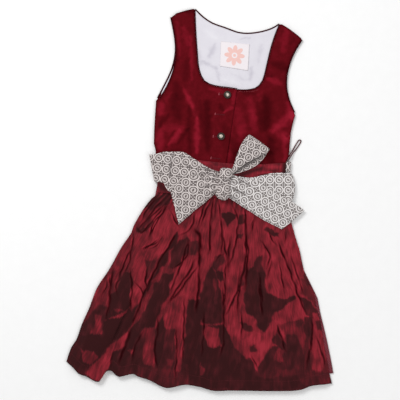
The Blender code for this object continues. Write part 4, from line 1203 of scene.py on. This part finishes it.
edge = ease(np.minimum(a, 1 - a) * width / APRON_EDGE_REACH)
bulge = BULGE_HEIGHT * ease((36 - y) / 225) * ease(distance_to(x, y, skirt_edges) / 80)
stray_x = x + 3.4 * wander(x, y, 24) + 1.6 * wander(x, y, 10)
stray_y = y + 3.4 * wander(y, x, 27) + 1.6 * wander(y, x, 11)
stray_y = stray_y + 1.8 * wander(3 * x + 12 * wander(y, x, 60), 0.5 * y, 9)
tone = 0.70 - 0.45 * ease((-330 - y) / 60) + 0 * x
for table, view in [(RIGHT_FACETS, RIGHT_VIEW), (LEFT_FACETS, LEFT_VIEW)]:
    tone = facets(stray_x, stray_y, tone, table, view)
tone = tone + 0.13 * wander(x * 2.6, y, 40) + 0.09 * wander(x * 2.2, y, 17) - 0.05
# Painted light: the wearer's left side glows brighter.
tone = tone + 0.0005 * x
stray_x = x + 1.6 * wander(x, y, 16)
stray_y = y + 1.6 * wander(y, x, 17)
# The line is painted shade, near black, in each crease, and the lit side a painted highlight beside it.
line, lit_side = np.zeros_like(x), np.zeros_like(x)
for table, view in [
    (RIGHT_CREASES, RIGHT_VIEW), (LEFT_CREASES, LEFT_VIEW),
    (UPPER_RIGHT_CREASES, UPPER_RIGHT_VIEW), (UPPER_LEFT_CREASES, UPPER_LEFT_VIEW),
]:
    line = np.maximum(line, creased(stray_x, stray_y, table, view))
    lit_side = np.maximum(lit_side, creased(stray_x + 3.4, stray_y - 0.8, table, view))
tone = tone + 0.3 * lit_side * (1 - line)
# Small patches of painted shade dim what glows, and painted glints lighten the dark side.
painted_dim_and_glint = wander(2.1 * x + 9 * wander(y, x, 40), 0.62 * y, 15) * wander(1.3 * x, 0.5 * y + 40, 22)
tone = tone - 0.42 * np.clip(painted_dim_and_glint, 0, 0.7) * tone + 0.16 * np.clip(-painted_dim_and_glint, 0, 0.8) * (1 - tone)
ground_z = APRON_LOW + lift(y) + 1.2 * ease((y + 150) / 130) + bulge
z = ground_z + FOLD_HEIGHT * ease(d / 0.5) * edge * valleys(a, d, width) + gathers(a, d) * edge
below_tails = ease((-60 - y) / 40)
crumple = np.abs(wander(x + 8 * wander(y, x, 30), y * 0.55, 17)) - 0.5
z = z + below_tails * edge * (0.9 * crumple + 0.8 * tone - 1.6 * line)
z = np.maximum(z, ground_z)
low = np.stack([x, y, z], -1)
apron_top = np.stack([x, y, z + APRON_WALL], -1)
apron = wall("apron_taffeta", low, apron_top, taffeta, flat)
# Painted light and shade in stripes along the gathers under the band, and painted shading that follows the
# crumples.
painted_gather_shading = (np.cos(math.tau * GATHERS * a + 0.8) - 0.4) * ease(1 - d / 0.12) * 0.3
mark(apron, "tone", tone + 0.1 * crumple + painted_gather_shading)
mark(apron, "line", np.minimum(line * 1.15, 0.97))
mark(apron, "across", APRON_BREADTH * a)
finish_cloth(
    apron, "apron")


# Waistband of the apron.
# A tall band of the same taffeta, folded double, that the gathers are sewn into. The wound ties
# cross it.
BAND_TOP = [(-158, 98), (-66, 101), (21, 101), (94, 107), (159.4, 117)]
BAND_LENGTH = 317.4
BAND_HEIGHT = 88.0
BAND_SLANT = 5.3
BAND_LOW = 9.3
BAND_WALL = 1.8
BAND_COLUMNS = 130
BAND_ROWS = 36
# Creases of the band; their heights also paint its tone: painted shade below zero, as under the loop and
# near its ends, painted light above. Columns: x1, y1, x2, y2, half width, height
BAND_CREASES = [
    (-70, 96, -20, 95, 2.5, 0.4),
    (-20, 90, 20, 88, 3, 0.5),
    (62, 101, 110, 105, 3, 0.5),
    (112, 101, 148, 106, 4, 0.4),
    (92, 84, 128, 90, 3, 0.5),
    (44, 92, 70, 96, 4, -0.7),
    (70, 88, 90, 92, 2.5, -0.6),
    (118, 93, 146, 97, 2.5, -0.5),
    (156, 118, 160, 80, 5, -1.1),
    (-60, 88, -30, 84, 3, -0.6),
    (-150, 30, -128, 16, 9, -1.0),
    (46, 73, 100, 96, 5, -0.9),
    (40, 66, 60, 70, 4, -0.7),
    (96, 80, 130, 86, 2.5, -0.6),
]
across = np.linspace(0, 1, BAND_COLUMNS + 1)
down = np.linspace(0, 1, BAND_ROWS + 1)
top = spread(through(BAND_TOP, 10), across)[None]
flat = top + down[:, None, None] * np.array([BAND_SLANT, -BAND_HEIGHT])
x, y = flat[..., 0], flat[..., 1]
from_end = np.minimum(across, 1 - across)[None] * BAND_LENGTH
z = BAND_LOW - 1.6 * ease(1 - from_end / 24) + 0 * x
creases = streaks(x, y, BAND_CREASES, sharp=2, stray=1)
low = np.stack([x, y, z], -1)
band_top = np.stack([x, y, z + BAND_WALL + 0.5 * creases], -1)
band = wall("waistband_taffeta", low, band_top, taffeta, flat)
# The creases paint the band's tone: painted shade in the low ones, painted light on the high ones.
mark(band, "tone", 0.6 + 0.45 * np.clip(creases, -1.2, 0.8) + 0.15 * wander(x, y, 15))
mark(band, "line", 0)
mark(band, "across", x)
finish_cloth(
    band, "apron_waistband")


# Ties and bow.
# Long ties of pale grey and ivory jacquard, wound once round the waist over the band and knotted
# into a bow with one loop at the wearer's left. Each length that shows is a piece of its own.
TIE_WALL = 1.2
TIE_TOP = 12.6
TIE_COLUMNS = 30
TIE_STEP = 3.2
# How a tie comes round the garment's side. Columns: way inward, share of its full height
BEND = [(22, 0.0), (10, 0.0), (3, 0.11), (0, 0.5), (1.5, 0.82), (5, 0.96), (12, 1.0)]
WRAP_RIGHT_EDGE = [(-182, 103), (-172, 68), (-162, 36)]
# Each row is one section across a tie: its upper edge, middle and lower edge, at its outer face.
WRAP_RIGHT = [
    (-146, 112.5, 12.6, -143, 74, 12.8, -139, 35.5, 12.6),
    (-122, 115.2, 12.6, -127, 70, 12.9, -132, 25, 12.6),
    (-98, 116.8, 12.6, -110, 66, 13.0, -120, 15, 12.8),
    (-83, 111, 12.6, -90, 71, 13.4, -98, 34, 12.6),
    (-65, 101.4, 12.6, -69, 74, 14.0, -75, 48, 12.6),
    (-43, 90.5, 12.8, -43, 75.5, 15.6, -45, 59, 12.6),
    (-22, 81.5, 13.4, -21.5, 74, 18.0, -22.5, 64, 12.6),
    (-4.4, 78, 14.2, -3.8, 72.5, 20.0, -4.4, 64.5, 12.8),
    (1.6, 77.5, 15.4, 2.2, 72.5, 20.0, 1.6, 66, 14.2),
]
WRAP_LEFT_EDGE = [(178, 91.5), (190, 58), (185.5, 22)]
WRAP_LEFT = [
    (150, 91, 12.6, 155, 57, 12.8, 158, 24, 12.6),
    (125, 87, 12.6, 126, 56, 13.2, 128, 27, 12.6),
    (100, 78, 12.8, 99, 56, 13.6, 98, 34, 12.6),
    (75, 71, 13.4, 70, 56, 14.0, 66, 41, 12.6),
    (50, 71, 14.4, 48, 58, 14.4, 47, 44, 12.6),
    (30.6, 72, 15.2, 29.6, 59, 14.4, 29.8, 46, 12.8),
    (25, 71, 16.0, 24.4, 59, 15.4, 24.6, 47, 14.0),
]
TAIL_RIGHT = [
    (2.4, 65.0, 18.0, 3.4, 44, 24.0, -1.0, 22, 16.0),
    (-3.6, 65.5, 17.4, -2.2, 44, 25.0, -7.6, 21, 15.0),
    (-20, 65.5, 17.0, -19, 37, 22.0, -21, 8, 13.6),
    (-34, 65, 16.6, -34, 31, 19.4, -32, -4, 12.8),
    (-60, 61.5, 16.2, -58, 20, 16.6, -51, -22, 11.6),
    (-88, 55, 16.0, -80, 6, 14.6, -67, -39, 11.2),
    (-106, 34, 15.8, -92, -8, 13.4, -79, -52, 10.8),
    (-118, 14, 15.4, -104, -25, 12.8, -90, -64, 10.6),
]
TAIL_LEFT = [
    (23.6, 65, 18.6, 23.6, 41, 24.0, 23.4, 16, 17.0),
    (29.4, 66, 18.0, 29.4, 40, 25.0, 29.2, 14, 16.0),
    (46, 67.5, 17.4, 46, 34, 22.0, 46, 6, 14.4),
    (64, 68, 16.8, 62, 29, 19.6, 63, -3, 13.2),
    (89, 65, 16.6, 84, 25, 17.0, 82, -12, 12.6),
    (138, 44, 15.8, 128, 6, 15.2, 118, -30, 10.9),
    (186, 22, 15.4, 166, -9, 13.6, 146, -41, 10.0),
    (219, 4, 8.6, 196, -21, 10.2, 168, -49, 8.8),
]
LOOP = [
    (25, 84.5, 14.6, 25.6, 80, 14.0, 27, 75, 14.4),
    (29.6, 86.5, 13.6, 30.4, 80.5, 12.8, 31.6, 73.8, 13.0),
    (42, 116, 12.4, 58, 102, 11.7, 80, 97, 12.6),
    (53, 150, 12.4, 76, 134, 11.7, 102, 120, 12.4),
    (59, 171, 13.2, 85, 158, 12.6, 113, 142, 13.2),
    (61.5, 178, 18.0, 88.5, 164, 18.0, 116, 147, 17.4),
    (59, 175, 22.6, 86, 161, 23.6, 112.5, 143, 21.8),
    (47, 158, 24.4, 67, 143, 26.4, 90, 125, 23.6),
    (35.5, 121, 23.6, 45, 112, 26.0, 58, 103, 23.0),
    (28.2, 89, 20.6, 29.6, 84, 22.6, 31.6, 78, 20.4),
    (24.4, 86.5, 20.4, 25.2, 82.5, 21.6, 26.4, 78.4, 20.2),
]
STUB_TOP = 10.6
STUB_EDGE = [(173, 121), (174, 108), (174, 95.5)]
STUB_END = (160.6, 121.5, STUB_TOP, 161.3, 108, STUB_TOP, 162, 95.5, STUB_TOP)
# The knot from the neck side to the hem side. Columns: y, left x, right x, low z, high z
KNOT = [
    (89, 5, 24, 16, 22),
    (86, 0, 28.6, 12.6, 27.5),
    (76, -2.5, 29.2, 11.6, 32),
    (63, -3, 28.6, 11.5, 33),
    (54, -3, 27.6, 11.5, 33),
    (43, -2, 28.0, 11.5, 33),
    (31, -4, 28.5, 11.5, 33),
    (19, -6, 27.5, 11.8, 31),
    (11, 1, 23.5, 12.8, 27),
    (7.5, 8, 18, 15, 22),
]
KNOT_SIDES = 56
KNOT_STEP = 2.5
KNOT_TOP = 33
# Where the knot's upper and lower turns of cloth meet
KNOT_CROSSING = 57
# The pattern's repeat along the tie and across it, then the rings of its medallion from the middle
# out, the small squares between the medallions and their distance from the middle of the gap
MEDALLION_ALONG = 22.8
MEDALLION_ACROSS = 25.6
FLOWER_RING, DARK_RING, PALE_RING = (0.4, 6.2), (6.2, 8.7), (8.7, 11.1)
RING_SOFTNESS = 0.3
SQUARE_PLACE = 2.4


def jacquard_material():
    made, sockets, shade, place = new_material(
        "jacquard", Roughness=0.55, Specular_IOR_Level=0.2)
    over, along = shade.make("ShaderNodeUVMap", {"uv_map": "cloth"}).split()

    def folded(value, pitch, shift=0.0):
        """A place's distance, along one direction, from the nearest line of a set."""
        return (value / pitch + shift).off_whole() * pitch

    u, v = folded(along, MEDALLION_ALONG), folded(over, MEDALLION_ACROSS)
    diamond = (abs(u) + abs(v)) * 0.7071
    octagon = shade.math("MAXIMUM", shade.math("MAXIMUM", abs(u), abs(v)), diamond)
    reach = octagon * 0.4 + u.from_middle(v) * 0.6
    core_u, core_v = (u * 0.86 - v * 0.5) / 4.0, (u * 0.5 + v * 0.86) / 2.1
    core = 1 - core_u.from_middle(core_v).step(0.8, 1.2)
    pale = reach.between(*PALE_RING, RING_SOFTNESS)
    pale = pale + reach.between(*FLOWER_RING, RING_SOFTNESS) * (1 - core) * 0.72
    dark = reach.between(*DARK_RING, RING_SOFTNESS) + core

    near_u = abs(folded(along, MEDALLION_ALONG, 0.5))
    near_v = abs(folded(over, MEDALLION_ACROSS, 0.5))
    square_u, square_v = abs(near_u - SQUARE_PLACE), abs(near_v - SQUARE_PLACE)
    squares = 1 - shade.math("MAXIMUM", square_u, square_v).step(1.0, 1.5)
    dashes = 1 - shade.math("MAXIMUM", abs(abs(u) - 2.0), near_v).step(0.8, 1.3)
    squares = (squares + dashes) * reach.step(11.2, 11.7) * 0.85

    threads = shade.noise(place, 600, 2)
    # The lit attribute switches to paler, painted lit copies of the field and figure colours.
    lit = shade.attribute("lit")
    field = threads.mix(srgb(86, 77, 76), srgb(114, 104, 103))
    field = dark.mix(field, srgb(98, 88, 87))
    field = lit.mix(field, threads.mix(srgb(104, 97, 95), srgb(134, 126, 124)))
    figure = threads.mix(srgb(214, 204, 201), srgb(239, 230, 227))
    figure = lit.mix(figure, threads.mix(srgb(234, 228, 226), srgb(252, 248, 247)))
    colour = (pale + squares).mix(field, figure)
    # Painted grey shade in the creases and shadowed folds, from their attribute.
    colour = (shade.attribute("crease") * 0.75).mix(colour, srgb(74, 66, 66))
    shade.feed(sockets["Base Color"], colour)
    shade.feed(sockets["Normal"], shade.bump(pale + threads, 0.0005, 0.6))
    return made


jacquard = jacquard_material()


def bend_rows(edge, side, bend=BEND, top=TIE_TOP):
    """Sections of a tie that comes from under the garment round its side; side is -1 or 1."""
    return [
        [value for x, y in edge for value in (x - side * inward, y, rise * top)]
        for inward, rise in bend
    ]


def woven_places(outer, keel, straight):
    """Where each point of a tie's face lies in its flat cloth: across it, and along it.

    The woven pattern keeps its true shape and runs square to one edge of the tie, the keel. A
    stretch with one straight heading is flat on top, and rolled only where it goes round the side.
    """
    if straight is not None:
        ahead = np.array([math.cos(straight), math.sin(straight)])
        aside = np.array([-math.sin(straight), math.cos(straight)])
        steps = np.diff(outer[:, keel], axis=0)
        start = so_far(np.hypot(steps[:, :2] @ ahead, steps[:, 2]))
        drift = so_far(steps[:, :2] @ aside)
        beside = outer[..., :2] - outer[:, keel, :2][:, None]
        return drift[:, None] + beside @ aside, start[:, None] + beside @ ahead
    gaps = outer[:, :-1] - outer[:, 1:]
    heading = np.gradient(outer[:, keel], axis=0)
    heading /= np.linalg.norm(heading, axis=-1, keepdims=True)
    slide = (gaps * heading[:, None]).sum(-1)
    rise = np.sqrt(np.maximum((gaps ** 2).sum(-1) - slide ** 2, 0))
    start = so_far(step_lengths(outer[:, keel]))
    over, along = -so_far(rise.T).T, -so_far(slide.T).T
    return over - over[:, keel][:, None], start[:, None] + along - along[:, keel][:, None]


# The outer faces of the ties, for the hems that are sewn along them
tie_tops = {}


def tie(
    name, node, rows, outward, shift, creases=(), pleated=False, keel=-1, straight=None,
):
    """A stretch of tie through its sections, its wall inside its outer face.

    The shift places the woven pattern: across from the tie's keel, and along it.
    """
    rows = np.array(rows, float).reshape(-1, 3, 3)
    counts = [max(1, round(length / TIE_STEP)) for length in step_lengths(rows[:, 1])]
    shares = np.linspace(0, 1, TIE_COLUMNS + 1)
    lines = [through([arc(*row, share) for row in rows], TIE_STEP, counts) for share in shares]
    outer = np.stack(lines, 1)
    crease = creased(outer[..., 0], outer[..., 1], creases)
    if pleated:
        level = ease(1 - np.arange(len(outer)) / (len(outer) - 1) / 0.42)
        wave = np.sin(math.pi * 3 * shares) ** 2
        outer[..., 2] -= 1.2 * level[:, None] * wave[None]
    outer[..., 2] -= 0.9 * crease
    normal = np.cross(np.gradient(outer, axis=0), np.gradient(outer, axis=1))
    normal /= np.linalg.norm(normal, axis=-1, keepdims=True)
    inner = outer - normal * outward * TIE_WALL
    over, along = woven_places(outer, keel, straight)
    flat = np.stack([over + shift[0], along + shift[1]], -1)
    tie_tops[name] = outer
    piece = wall(name, inner, outer, jacquard, flat)
    mark(piece, "crease", crease)
    finish_cloth(
        piece, node)
    return piece


# Creases, which dip the tie's face and paint grey shade into it: half width in millimetres, then the line of
# the crease on the garment
WRAP_CREASES = [
    (2.6, [(-6, 75), (-30, 80), (-58, 86)]),
    (2.2, [(-14, 72), (-42, 69), (-70, 62)]),
    (2.4, [(-122, 106), (-126, 74), (-120, 44)]),
    (2.0, [(-100, 96), (-84, 84), (-62, 78)]),
]
TAIL_RIGHT_CREASES = [
    (2.8, [(0, 58), (-20, 57), (-42, 53)]),
    (2.4, [(-4, 45), (-26, 38), (-50, 33)]),
    (2.4, [(-6, 31), (-22, 20), (-34, 12)]),
]
TAIL_LEFT_CREASES = [
    (3.0, [(27, 55), (44, 55), (66, 50)]),
    (3.0, [(27, 41), (46, 34), (70, 28)]),
    (2.6, [(27, 26), (40, 16), (56, 8)]),
    (2.0, [(40, 62), (62, 58), (84, 50)]),
]
WRAP_LEFT_CREASES = [
    (2.6, [(30, 62), (60, 60), (96, 58)]),
]
wrap_right = bend_rows(WRAP_RIGHT_EDGE, -1) + WRAP_RIGHT
wrap_left = bend_rows(WRAP_LEFT_EDGE, 1) + WRAP_LEFT
stub = bend_rows(STUB_EDGE, 1, BEND[:-1], STUB_TOP) + [STUB_END]
tie(
    "wrap_right_jacquard", "tie_wrap_right", wrap_right, outward=-1, shift=(6.4, -8),
    creases=WRAP_CREASES, keel=0, straight=-0.05)
wrap_left_cloth = tie(
    "wrap_left_jacquard", "tie_wrap_left", wrap_left, outward=1, shift=(8, 8),
    creases=WRAP_LEFT_CREASES, keel=0, straight=math.pi + 0.1)
tie(
    "stub_jacquard", "tie_stub", stub, outward=1, shift=(-12, 0))
tie(
    "tail_right_jacquard", "bow_tail_right", TAIL_RIGHT, outward=1, shift=(-16, 3),
    creases=TAIL_RIGHT_CREASES, pleated=True)
tail_left_cloth = tie(
    "tail_left_jacquard", "bow_tail_left", TAIL_LEFT, outward=-1, shift=(-16, 6),
    creases=TAIL_LEFT_CREASES, pleated=True)
# The ties at the wearer's left are painted lit: paler, as where the cloth faces the light.
for piece in (wrap_left_cloth, tail_left_cloth):
    mark(piece, "lit", 1)
loop = tie(
    "loop_jacquard", "bow_loop", LOOP, outward=1, shift=(-10, 0))
# Painted shadow darkens its lower layer along the loop's opening, under the edge of the upper one.
x, y, z = places(loop)
opening = distance_to(x, y, [np.array([(30, 77), (58, 101), (84, 121), (92, 126)], float)])
mark(loop, "crease", np.exp(-((opening / 5) ** 2)) * ease((19 - z) / 2))

# The knot is a smooth padded form. The cloth's heading turns where it goes round.
rings = [(a, (b + c) / 2, (c - b) / 2, (d + e) / 2, (e - d) / 2) for a, b, c, d, e in KNOT]
rows = through(rings, KNOT_STEP)
ring_y, middle_x, half_x, middle_z, half_z = rows.T[..., None]
turns = np.arange(KNOT_SIDES)[None] * math.tau / KNOT_SIDES
inside = ease(np.minimum(ring_y - 9, 88 - ring_y) / 14)
groove = (ring_y - KNOT_CROSSING - 6 * np.cos(turns)) / 3.5
folds = 1 + 0.022 * inside * np.sin(turns * 6 + ring_y * 0.09)
folds = folds - 0.02 * inside * np.exp(-(groove ** 2))
knot_x = middle_x + half_x * np.cos(turns) * folds
knot_z = middle_z + half_z * np.sin(turns) * folds
knot_y = ring_y + 0 * turns
points = np.stack([knot_x, knot_y, np.minimum(knot_z, KNOT_TOP)], -1).reshape(-1, 3)
faces = ring_faces(len(rows), KNOT_SIDES, first=0)
faces.append(tuple(reversed(range(KNOT_SIDES))))
faces.append(tuple(range(len(points) - KNOT_SIDES, len(points))))
knot = mesh_piece("knot_jacquard", points, faces, jacquard)
shape = bmesh.new()
shape.from_mesh(knot.data)
bmesh.ops.recalc_face_normals(shape, faces=shape.faces)
uv = shape.loops.layers.uv.new("cloth")
for face in shape.faces:
    upper = face.calc_center_median().y * METRE > KNOT_CROSSING
    centre_x, centre_y, tilt = (19, 76.8, 0.05) if upper else (20.6, 37.8, 0.29)
    for corner in face.loops:
        moved_x = corner.vert.co.x * METRE - centre_x
        moved_y = corner.vert.co.y * METRE - centre_y
        corner[uv].uv = (moved_y - tilt * moved_x, moved_x + tilt * moved_y)
shape.to_mesh(knot.data)
shape.free()
x, y, z = places(knot)
# Painted shade along the line where the cloth turns over, and at the knot's lower end.
turn_over = np.exp(-(((y - KNOT_CROSSING - 0.35 * (x - 12)) / 2.6) ** 2)) * ease((x + 2) / 12)
mark(knot, "crease", np.maximum(turn_over * 0.8, 0.5 * ease((14 - y) / 8)))
finish_piece(knot, "bow_knot")

strip = finer_copy("tie_under_back", "strip_jacquard", jacquard, cell=12, rounds=0)
mark(strip, "crease", 0)
x, y, z = places(strip)
map_cloth(strip, np.stack([y, x], -1))
finish_cloth(strip, "tie_under_back")


# Hanger loop.
# A narrow satin ribbon that the dress hangs by. Both its ends are sewn into the waist seam at the
# wearer's left, and its loop lies free beside the bodice.
HANGER = [
    (161, 123.4, 8.3), (163.5, 128, 8.1), (167, 135, 7.2), (173, 148, 3.4), (177.5, 158, 1.4),
    (182, 168, 1.1), (186, 176, 1.1), (189.5, 178.6, 1.1), (192.6, 177.2, 1.1), (192.4, 173.5, 1.1),
    (187.5, 163, 1.1), (181, 151.5, 1.6), (176, 145.6, 3.4), (170, 133, 7.2), (166.6, 126, 8.1),
    (165.4, 123.4, 8.3),
]
ROUTE_STEP = 3.0
RIBBON_FULLER = 0.45

ribbon = grained_material(
    "ribbon", 500, (0.3, srgb(58, 2, 10)), (0.7, srgb(92, 10, 24)), 0.0003, 0.4,
    Roughness=0.6, Specular_IOR_Level=0.1)
hanger = round_copy("hanger_loop", "hanger_ribbon", ribbon, RIBBON_FULLER)
finish_piece(hanger, "hanger_loop")
route = through(HANGER, ROUTE_STEP) * MM


# Sewing.
# Machine stitching that shows: the apron's hem, its waistband, the ties' narrow hems, the label,
# the facing at the neck, and four worked buttonholes closed by small pink bars.

# Where each buttonhole's barred end lies; it runs from there towards the edge of the right front.
BUTTONHOLES = [(-24, 271), (-28, 220), (-27, 164), (-27, 110)]
BUTTONHOLE_LENGTH = 23.0
# How far the seams run inside the edges that they hold
HEM_INSET, APRON_SIDE_INSET, BAND_INSET, TIE_INSET, TIE_END_INSET, LABEL_INSET = 25, 6, 2.2, 4, 5, 1.4
NECK_FACING = [(20, 281), (40, 283.5), (58, 286), (72, 292)]
BEAD_SEGMENTS = 6
BEAD_RINGS = 4
STITCH_SEED = 7


def stitching_tree():
    """Lays short rounded stitches, one after the other, along the edges that it is given."""
    tree = bpy.data.node_groups.new("stitching", "GeometryNodeTree")
    for socket_name, kind in [
        ("Path", "Geometry"), ("Pitch", "Float"), ("Stitch", "Vector"), ("Thread", "Material"),
    ]:
        tree.interface.new_socket(socket_name, in_out="INPUT", socket_type="NodeSocket" + kind)
    tree.interface.new_socket("Stitches", in_out="OUTPUT", socket_type="NodeSocketGeometry")

    def node(kind, values=None, **settings):
        made = tree.nodes.new(kind)
        for setting, value in settings.items():
            setattr(made, setting, value)
        for socket_name, value in (values or {}).items():
            made.inputs[socket_name].default_value = value
        return made

    given = node("NodeGroupInput")
    curve = node("GeometryNodeMeshToCurve")
    spots = node("GeometryNodeCurveToPoints", mode="LENGTH")
    bead = node(
        "GeometryNodeMeshUVSphere", {"Segments": BEAD_SEGMENTS, "Rings": BEAD_RINGS, "Radius": 0.5})
    shaped = node("GeometryNodeTransform")
    uneven = node(
        "FunctionNodeRandomValue", {"Min": 0.86, "Max": 1.1, "Seed": STITCH_SEED}, data_type="FLOAT")
    laid = node("GeometryNodeInstanceOnPoints")
    real = node("GeometryNodeRealizeInstances")
    smooth = node("GeometryNodeSetShadeSmooth")
    threaded = node("GeometryNodeSetMaterial")
    result = node("NodeGroupOutput")
    joined = [
        (given.outputs["Path"], curve.inputs["Mesh"]),
        (curve.outputs["Curve"], spots.inputs["Curve"]),
        (given.outputs["Pitch"], spots.inputs["Length"]),
        (bead.outputs["Mesh"], shaped.inputs["Geometry"]),
        (given.outputs["Stitch"], shaped.inputs["Scale"]),
        (spots.outputs["Points"], laid.inputs["Points"]),
        (shaped.outputs["Geometry"], laid.inputs["Instance"]),
        (spots.outputs["Rotation"], laid.inputs["Rotation"]),
        (uneven.outputs["Value"], laid.inputs["Scale"]),
        (laid.outputs["Instances"], real.inputs["Geometry"]),
        (real.outputs["Geometry"], smooth.inputs["Geometry"]),
        (smooth.outputs["Geometry"], threaded.inputs["Geometry"]),
        (given.outputs["Thread"], threaded.inputs["Material"]),
        (threaded.outputs["Geometry"], result.inputs["Stitches"]),
    ]
    for source, target in joined:
        tree.links.new(source, target)
    return tree


def seam(grid, inset):
    """The line that runs a set distance inside the first edge of a grid of points."""
    along = so_far(step_lengths(grid))
    return np.array([
        [np.interp(inset, along[:, column], grid[:, column, part]) for part in range(3)]
        for column in range(grid.shape[1])
    ])


def two_seams(grid, inset, skip_first, skip_last):
    """The seams inside the first and the last edge of a grid, without their ends."""
    return [seam(side, inset)[skip_first:-skip_last] for side in (grid, grid[::-1])]


def face_tree(piece):
    """A piece's faces, for finding places on them."""
    mesh = piece.data
    return bvhtree.BVHTree.FromPolygons(
        [point.co for point in mesh.vertices], [tuple(face.vertices) for face in mesh.polygons])


def on_top(tree, line):
    """Places of a line given as x and y, laid on the upper face of a piece."""
    laid = []
    for x, y in line:
        hit = tree.ray_cast(Vector((x / METRE, y / METRE, 1)), Vector((0, 0, -1)))[0]
        laid.append((x, y, hit.z * METRE))
    return np.array(laid)


def sew(name, lines, thread, pitch, stitch, above=0.05):
    """Stitches along lines, as one plain mesh; stitch is a stitch's breadth, height and length.

    Above is how far the thread's middle lies over the cloth.
    """
    points, edges = [], []
    for line in lines:
        first = len(points)
        points += [(x / METRE, y / METRE, (z + above) / METRE) for x, y, z in line]
        edges += [(first + step, first + step + 1) for step in range(len(line) - 1)]
    path = bpy.data.meshes.new(name + "_path")
    path.from_pydata(points, edges, [])
    guide = add_object(name + "_path", path)
    modifier = guide.modifiers.new("stitching", "NODES")
    modifier.node_group = stitching
    sockets = {item.name: item.identifier for item in stitching.interface.items_tree}
    modifier[sockets["Pitch"]] = pitch / METRE
    modifier[sockets["Stitch"]] = [size / METRE for size in stitch]
    modifier[sockets["Thread"]] = thread
    guide.update_tag()
    graph = bpy.context.evaluated_depsgraph_get()
    mesh = bpy.data.meshes.new_from_object(guide.evaluated_get(graph))
    bpy.data.objects.remove(guide)
    piece = add_object(name, mesh)
    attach(piece, ROOT)


def thread_material(name, dark, light):
    return grained_material(
        name, 2500, (0.35, dark), (0.65, light), 0.0002, 0.5, Roughness=0.6, Specular_IOR_Level=0.2)


stitching = stitching_tree()
wine_thread = thread_material("wine_thread", srgb(70, 14, 22), srgb(120, 34, 46))
rose_thread = thread_material("rose_thread", srgb(176, 70, 88), srgb(214, 122, 132))
grey_thread = thread_material("grey_thread", srgb(186, 178, 175), srgb(232, 224, 220))
white_thread = thread_material("white_thread", srgb(226, 220, 224), srgb(246, 242, 244))

hem = seam(apron_top[::-1], HEM_INSET)[3:-3]
sides = two_seams(np.swapaxes(apron_top, 0, 1), APRON_SIDE_INSET, 8, 4)
sew("apron_hem_stitches", [hem, *sides], wine_thread, pitch=2.8, stitch=(0.7, 0.5, 2.1))
sew(
    "waistband_stitches", two_seams(band_top, BAND_INSET, 4, 4), wine_thread,
    pitch=2.6, stitch=(0.6, 0.45, 1.9))
tie_lines = []
for name in ["wrap_right", "wrap_left", "tail_right", "tail_left"]:
    top = tie_tops[name + "_jacquard"]
    tie_lines += two_seams(np.swapaxes(top, 0, 1), TIE_INSET, 3, 5)
    if name.startswith("tail"):
        tie_lines.append(seam(top[::-1], TIE_END_INSET)[2:-2])
sew("tie_hem_stitches", tie_lines, grey_thread, pitch=2.6, stitch=(0.5, 0.4, 1.8))
label_lines = []
for grid in (label_top, np.swapaxes(label_top, 0, 1)):
    label_lines += two_seams(grid, LABEL_INSET, 1, 1)
sew("label_stitches", label_lines, white_thread, pitch=2.2, stitch=(0.45, 0.35, 1.5))
facing_line = on_top(face_tree(left_front), through(NECK_FACING, 3))
sew("neck_facing_stitches", [facing_line], rose_thread, pitch=2.8, stitch=(0.5, 0.4, 1.7))

right_tree = face_tree(right_front)
slots, bars = [], []
runs = np.linspace(1, BUTTONHOLE_LENGTH, 12)
for x, y in BUTTONHOLES:
    for side in (-0.8, 0.8):
        slots.append(on_top(right_tree, [(x + run, y + side) for run in runs]))
    for step in (-0.9, -0.3, 0.3):
        bars.append(on_top(right_tree, [(x + step, y - 2.2), (x + step, y), (x + step, y + 2.2)]))
sew(
    "buttonhole_stitches", slots, wine_thread, pitch=0.9, stitch=(1.3, 0.7, 0.8),
    above=0.1)
sew("buttonhole_bars", bars, rose_thread, pitch=1.4, stitch=(0.6, 0.6, 1.5), above=0.15)
